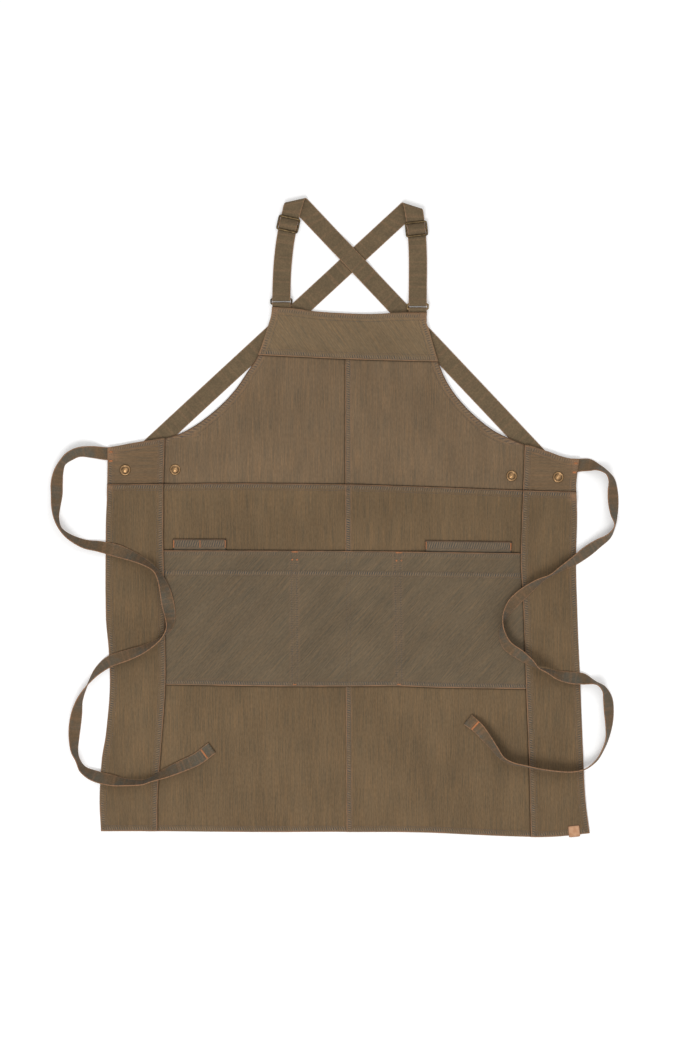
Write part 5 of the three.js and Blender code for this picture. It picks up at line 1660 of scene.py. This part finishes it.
def patch_mesh():
    place = node_centre("hem_patch")
    side = np.linspace(-1, 1, PATCH_STEPS + 1)
    u, v = np.meshgrid(side, side, indexing="ij")
    square = np.maximum(np.abs(u), np.abs(v))
    half_side = PATCH_SIDE / 2 * (1 - PATCH_CORNER_ROUND * (np.abs(u) * np.abs(v)) ** 4)
    border = bump_at(square - PATCH_BORDER_AT, 0.07)
    drop = 0.35 * ease((square - 0.88) / 0.12) + 0.25 * border
    half_thickness = np.full_like(u, PATCH_THICKNESS / 2)
    upper = np.stack([u * half_side, v * half_side, half_thickness - drop], axis=-1).reshape(-1, 3)
    lower = np.stack([u * half_side, v * half_side, -half_thickness], axis=-1).reshape(-1, 3)
    number = np.arange(u.size).reshape(u.shape)
    faces = []
    for i in range(PATCH_STEPS):
        for j in range(PATCH_STEPS):
            a, b, c, d = number[i, j], number[i + 1, j], number[i + 1, j + 1], number[i, j + 1]
            faces += [(a, b, c, d), (a + u.size, d + u.size, c + u.size, b + u.size)]
    right, left = list(number[-1, 1:]), list(number[0, -2:0:-1])
    edge_loop = list(number[:, 0]) + right + list(number[-2::-1, -1]) + left
    for a, b in zip(edge_loop, edge_loop[1:] + edge_loop[:1]):
        faces.append((a, a + u.size, b + u.size, b))
    verts = placed(np.concatenate([upper, lower]), PATCH_TURN, place)
    mesh = write_mesh("hem_patch", verts, faces)
    edge = ease((square - 0.86) / 0.14) + 0.4 * border
    mask = np.concatenate([edge.ravel(), np.ones(u.size)])
    add_masks(mesh, {"edge": np.clip(mask, 0, 1)})
    return mesh


add_piece("leather_hem_patch", patch_mesh(), MATERIALS["leather"], ["hem_patch"])


# Stitches: short raised threads along lines on the cloth
class ThreadWork:
    """Collects stitches and writes them as one mesh."""

    # How thick a stitch is along its length: share of the length, share of the radius
    RINGS = ((0.0, 0.2), (0.18, 0.9), (0.5, 1.0), (0.82, 0.9), (1.0, 0.2))
    SIDES = 4
    SHORTEST = 0.2
    STEEPEST = 1.2

    def __init__(self):
        self.points = []
        self.faces = []

    def stitch(self, start, end, radius):
        start, end = np.asarray(start, dtype=float), np.asarray(end, dtype=float)
        ahead = end - start
        length = np.linalg.norm(ahead)
        if length < self.SHORTEST:
            return
        ahead = ahead / length
        across = np.array([ahead[1], -ahead[0], 0])
        across = across / max(np.linalg.norm(across), 1e-6)
        upward = np.cross(across, ahead)
        if upward[2] < 0:
            upward = -upward
        self.faces += tube_faces(len(self.RINGS), self.SIDES, first=len(self.points))
        for share, size in self.RINGS:
            arch = upward * radius * (0.9 * math.sin(math.pi * share))
            middle = start + ahead * length * share + arch
            for k in range(self.SIDES):
                angle = 2 * math.pi * k / self.SIDES
                round_it = across * math.cos(angle) + upward * math.sin(angle)
                self.points.append(middle + round_it * radius * size)

    def along(self, points):
        """A row of stitches along a line on the cloth, left out where the cloth steps up or down."""
        points = np.asarray(points, dtype=float)
        gaps = np.linalg.norm(np.diff(points, axis=0), axis=1)
        lengths = np.concatenate([[0], np.cumsum(gaps)])
        for start in np.arange(0.5, lengths[-1] - STITCH_LENGTH, STITCH_PITCH):
            ends = []
            for where in (start, start + STITCH_LENGTH):
                x = np.interp(where, lengths, points[:, 0])
                y = np.interp(where, lengths, points[:, 1])
                ends.append((x, y, cloth_top(x, y) + STITCH_RADIUS * 0.3))
            if abs(ends[0][2] - ends[1][2]) < self.STEEPEST:
                self.stitch(ends[0], ends[1], STITCH_RADIUS)

    def bartack(self, x, y, width, height, turn=0.0, radius=0.3, surface=body_surface):
        """A dense block of crosswise threads, width along its own first direction."""
        count = max(3, round(height / (radius * 1.5)))
        for i in range(count):
            offset = mix(-height / 2, height / 2, i / (count - 1))
            ends = []
            for half in (-width / 2, width / 2):
                px = x + half * math.cos(turn) - offset * math.sin(turn)
                py = y + half * math.sin(turn) + offset * math.cos(turn)
                ends.append((px, py, cloth_top(px, py, surface) + radius * 0.9))
            self.stitch(ends[0], ends[1], radius)

    def write(self, name, material, slot_name):
        return add_piece(name, write_mesh(name, self.points, self.faces), material)


def column_points(line, offset, start_y, end_y):
    y = np.arange(min(start_y, end_y), max(start_y, end_y), 2.0)
    slope = line(y + 0.5) - line(y - 0.5)
    return np.stack([line(y) + offset * np.sqrt(1 + slope ** 2), y], axis=1)


def row_points(line, offset, start_x, end_x):
    x = np.arange(start_x, end_x, 2.0)
    slope = line(x + 0.5) - line(x - 0.5)
    return np.stack([x, line(x) - offset * np.sqrt(1 + slope ** 2)], axis=1)


def sew_panel(work, name):
    """Topstitching along a panel's bands, between the panel's own side lines and end rows."""
    first_col, last_col, first_row, last_row = PANELS[name][0]
    for spec in BANDS[name]:
        for stitch_at in spec["rows_at"]:
            offset = stitch_at * spec["inward"]
            if spec["kind"] == "row":
                where = float(spec["line"](0)) - offset
                start_x = float(columns[first_col](where))
                end_x = float(columns[last_col](where))
                work.along(row_points(spec["line"], offset, start_x + 1, end_x - 1))
                continue
            line_x = float(spec["line"](0))
            top_y = float(rows[first_row](line_x))
            bottom_y = float(rows[last_row](line_x))
            if spec["reach"] is not None:
                top_y = float(yoke_seam(0))
                bottom_y = left_armpit_y if spec["inward"] > 0 else right_armpit_y
            work.along(column_points(spec["line"], offset, top_y - 1, bottom_y + 1))


def sew_dividers(work):
    for divider in DIVIDERS:
        x = float(divider(SAMPLE_Y))
        for offset in (-DIVIDER_GAP / 2, DIVIDER_GAP / 2):
            top_y, bottom_y = float(pocket_top(x)) - 1, float(pocket_bottom(x)) + 1
            work.along(column_points(divider, offset, top_y, bottom_y))


THREAD_GROUPS = {
    "thread_bib": ["bib_left", "bib_right", "bib_yoke", "upper_side_left", "upper_side_right"],
    "thread_skirt": ["skirt_left", "skirt_right"],
    "thread_sides": ["side_left", "side_right"],
    "thread_pockets": ["pen_pocket", "towel_pocket", "big_pocket"],
}
for work_name, panels in THREAD_GROUPS.items():
    work = ThreadWork()
    for panel in panels:
        sew_panel(work, panel)
    if work_name == "thread_pockets":
        sew_dividers(work)
    work.write(work_name, MATERIALS["thread"], "body_twill")


# Bartacks: [width across, length along] in millimetres
POCKET_TOP_TACK = (1.9, 9)
POCKET_END_TACK = (1.6, 5)
DIVIDER_TACK = (3.4, 1.8)
WELT_TACK = (1.9, 11)
TIE_ROOT_TACK = (6.5, 2.2)
TIE_END_TACK_WIDTH = 3.2
TIE_END_TACK_INSET = 3.5
DIVIDER_TACK_DROP = 14
TIE_ROOT_SPACING = 14


def sew_divider_tacks(work):
    for divider in DIVIDERS:
        x = float(divider(SAMPLE_Y))
        top_y, bottom_y = float(pocket_top(x)), float(pocket_bottom(x))
        work.bartack(x, top_y - 1.8, *POCKET_TOP_TACK, math.pi / 2)
        work.bartack(x, bottom_y + 3, *POCKET_END_TACK, math.pi / 2)
        for offset in (-DIVIDER_GAP / 2, DIVIDER_GAP / 2):
            work.bartack(x + offset, top_y - DIVIDER_TACK_DROP, *DIVIDER_TACK, 0.9, radius=0.25)


def sew_welt_tacks(work):
    middle_y = float(pocket_top(0)) + WELT_SHOW * 0.62
    for name, (first, last) in SMALL_POCKETS.items():
        left_x = float(columns[first](middle_y)) + 1.6
        right_x = float(columns[last](middle_y)) - 1.6
        places = [left_x, right_x]
        if name == "pen_pocket":
            places.append(mix(left_x, right_x, 0.51))
        for x in places:
            work.bartack(x, float(pocket_top(x)) + WELT_SHOW * 0.55, *WELT_TACK)


def sew_tie_tacks(work):
    """Two short tacks where each tie is sewn under the body, and one across the tie's own end."""
    for inward, edge, height in ((1, left_edge, 0.75), (-1, right_edge, 0.5)):
        for lower in (0, 1):
            y = WAIST_Y + ARMPIT_RISE * height - lower * TIE_ROOT_SPACING
            work.bartack(float(edge(y)) + inward * 5, y - 3, *TIE_ROOT_TACK)
    for side, line in tie_lines.items():
        from_end = np.linalg.norm(line - line[-1], axis=1)
        k = int(np.argmin(np.abs(from_end - END_FOLD)))
        ahead = line[k + 1] - line[k - 1]
        turn = math.atan2(ahead[1], ahead[0])
        work.bartack(
            line[k][0], line[k][1], TIE_END_TACK_WIDTH, TIE_WIDTH - TIE_END_TACK_INSET, turn,
            surface=tie_surfaces[side],
        )


tacks = ThreadWork()
sew_divider_tacks(tacks)
sew_welt_tacks(tacks)
sew_tie_tacks(tacks)
tacks.write("bartacks", MATERIALS["bartack"], "tie_cloth")

# The floor, the light and the camera
FLOOR_SIZE = 8
FLOOR_DROP = 0.0004


def build_stage():
    mesh = bpy.data.meshes.new("floor")
    half = FLOOR_SIZE / 2
    mesh.from_pydata(
        [(x, y, -FLOOR_DROP) for x, y in ((-half, -half), (half, -half), (half, half), (-half, half))],
        [], [(0, 1, 2, 3)],
    )
    floor = bpy.data.objects.new("floor", mesh)
    bpy.context.scene.collection.objects.link(floor)
    material, _, shader, _ = new_material("pale floor")
    shader.inputs["Base Color"].default_value = (0.95, 0.95, 0.95, 1)
    shader.inputs["Roughness"].default_value = 0.9
    shader.inputs["Emission Color"].default_value = (1, 1, 1, 1)
    shader.inputs["Emission Strength"].default_value = 0.14
    mesh.materials.append(material)
    world = bpy.data.worlds.new("studio")
    world.use_nodes = True
    world.node_tree.nodes["Background"].inputs["Color"].default_value = (1, 1, 1, 1)
    world.node_tree.nodes["Background"].inputs["Strength"].default_value = 0.62
    bpy.context.scene.world = world
    bpy.context.scene.view_settings.view_transform = "Standard"


def add_light(name, place, target, size, power):
    data = bpy.data.lights.new(name, "AREA")
    data.shape = "RECTANGLE"
    data.size, data.size_y = size
    data.energy = power
    light = bpy.data.objects.new(name, data)
    light.location = place
    light.rotation_euler = (Vector(target) - Vector(place)).to_track_quat("-Z", "Y").to_euler()
    bpy.context.scene.collection.objects.link(light)


build_stage()
add_light("key", (-0.7, -1.9, 2.6), (0, 0, 0), (1.6, 1.2), 51)
add_light("fill", (1.4, 1.6, 2.8), (0, 0, 0), (2.4, 2.4), 18)

# The photo's scale and framing: straight down, the frame's long side seen through a 70 mm lens
PIXEL = 1.55 * MM
FRAME_HEIGHT = 1050
LENS = 70
SENSOR = 36
AIM = (5 * PIXEL, -7 * PIXEL)
camera_data = bpy.data.cameras.new("camera")
camera_data.lens = LENS
camera_data.sensor_width = SENSOR
camera = bpy.data.objects.new("camera", camera_data)
camera.location = (AIM[0], AIM[1], FRAME_HEIGHT * PIXEL * LENS / SENSOR)
bpy.context.scene.collection.objects.link(camera)
bpy.context.scene.camera = camera
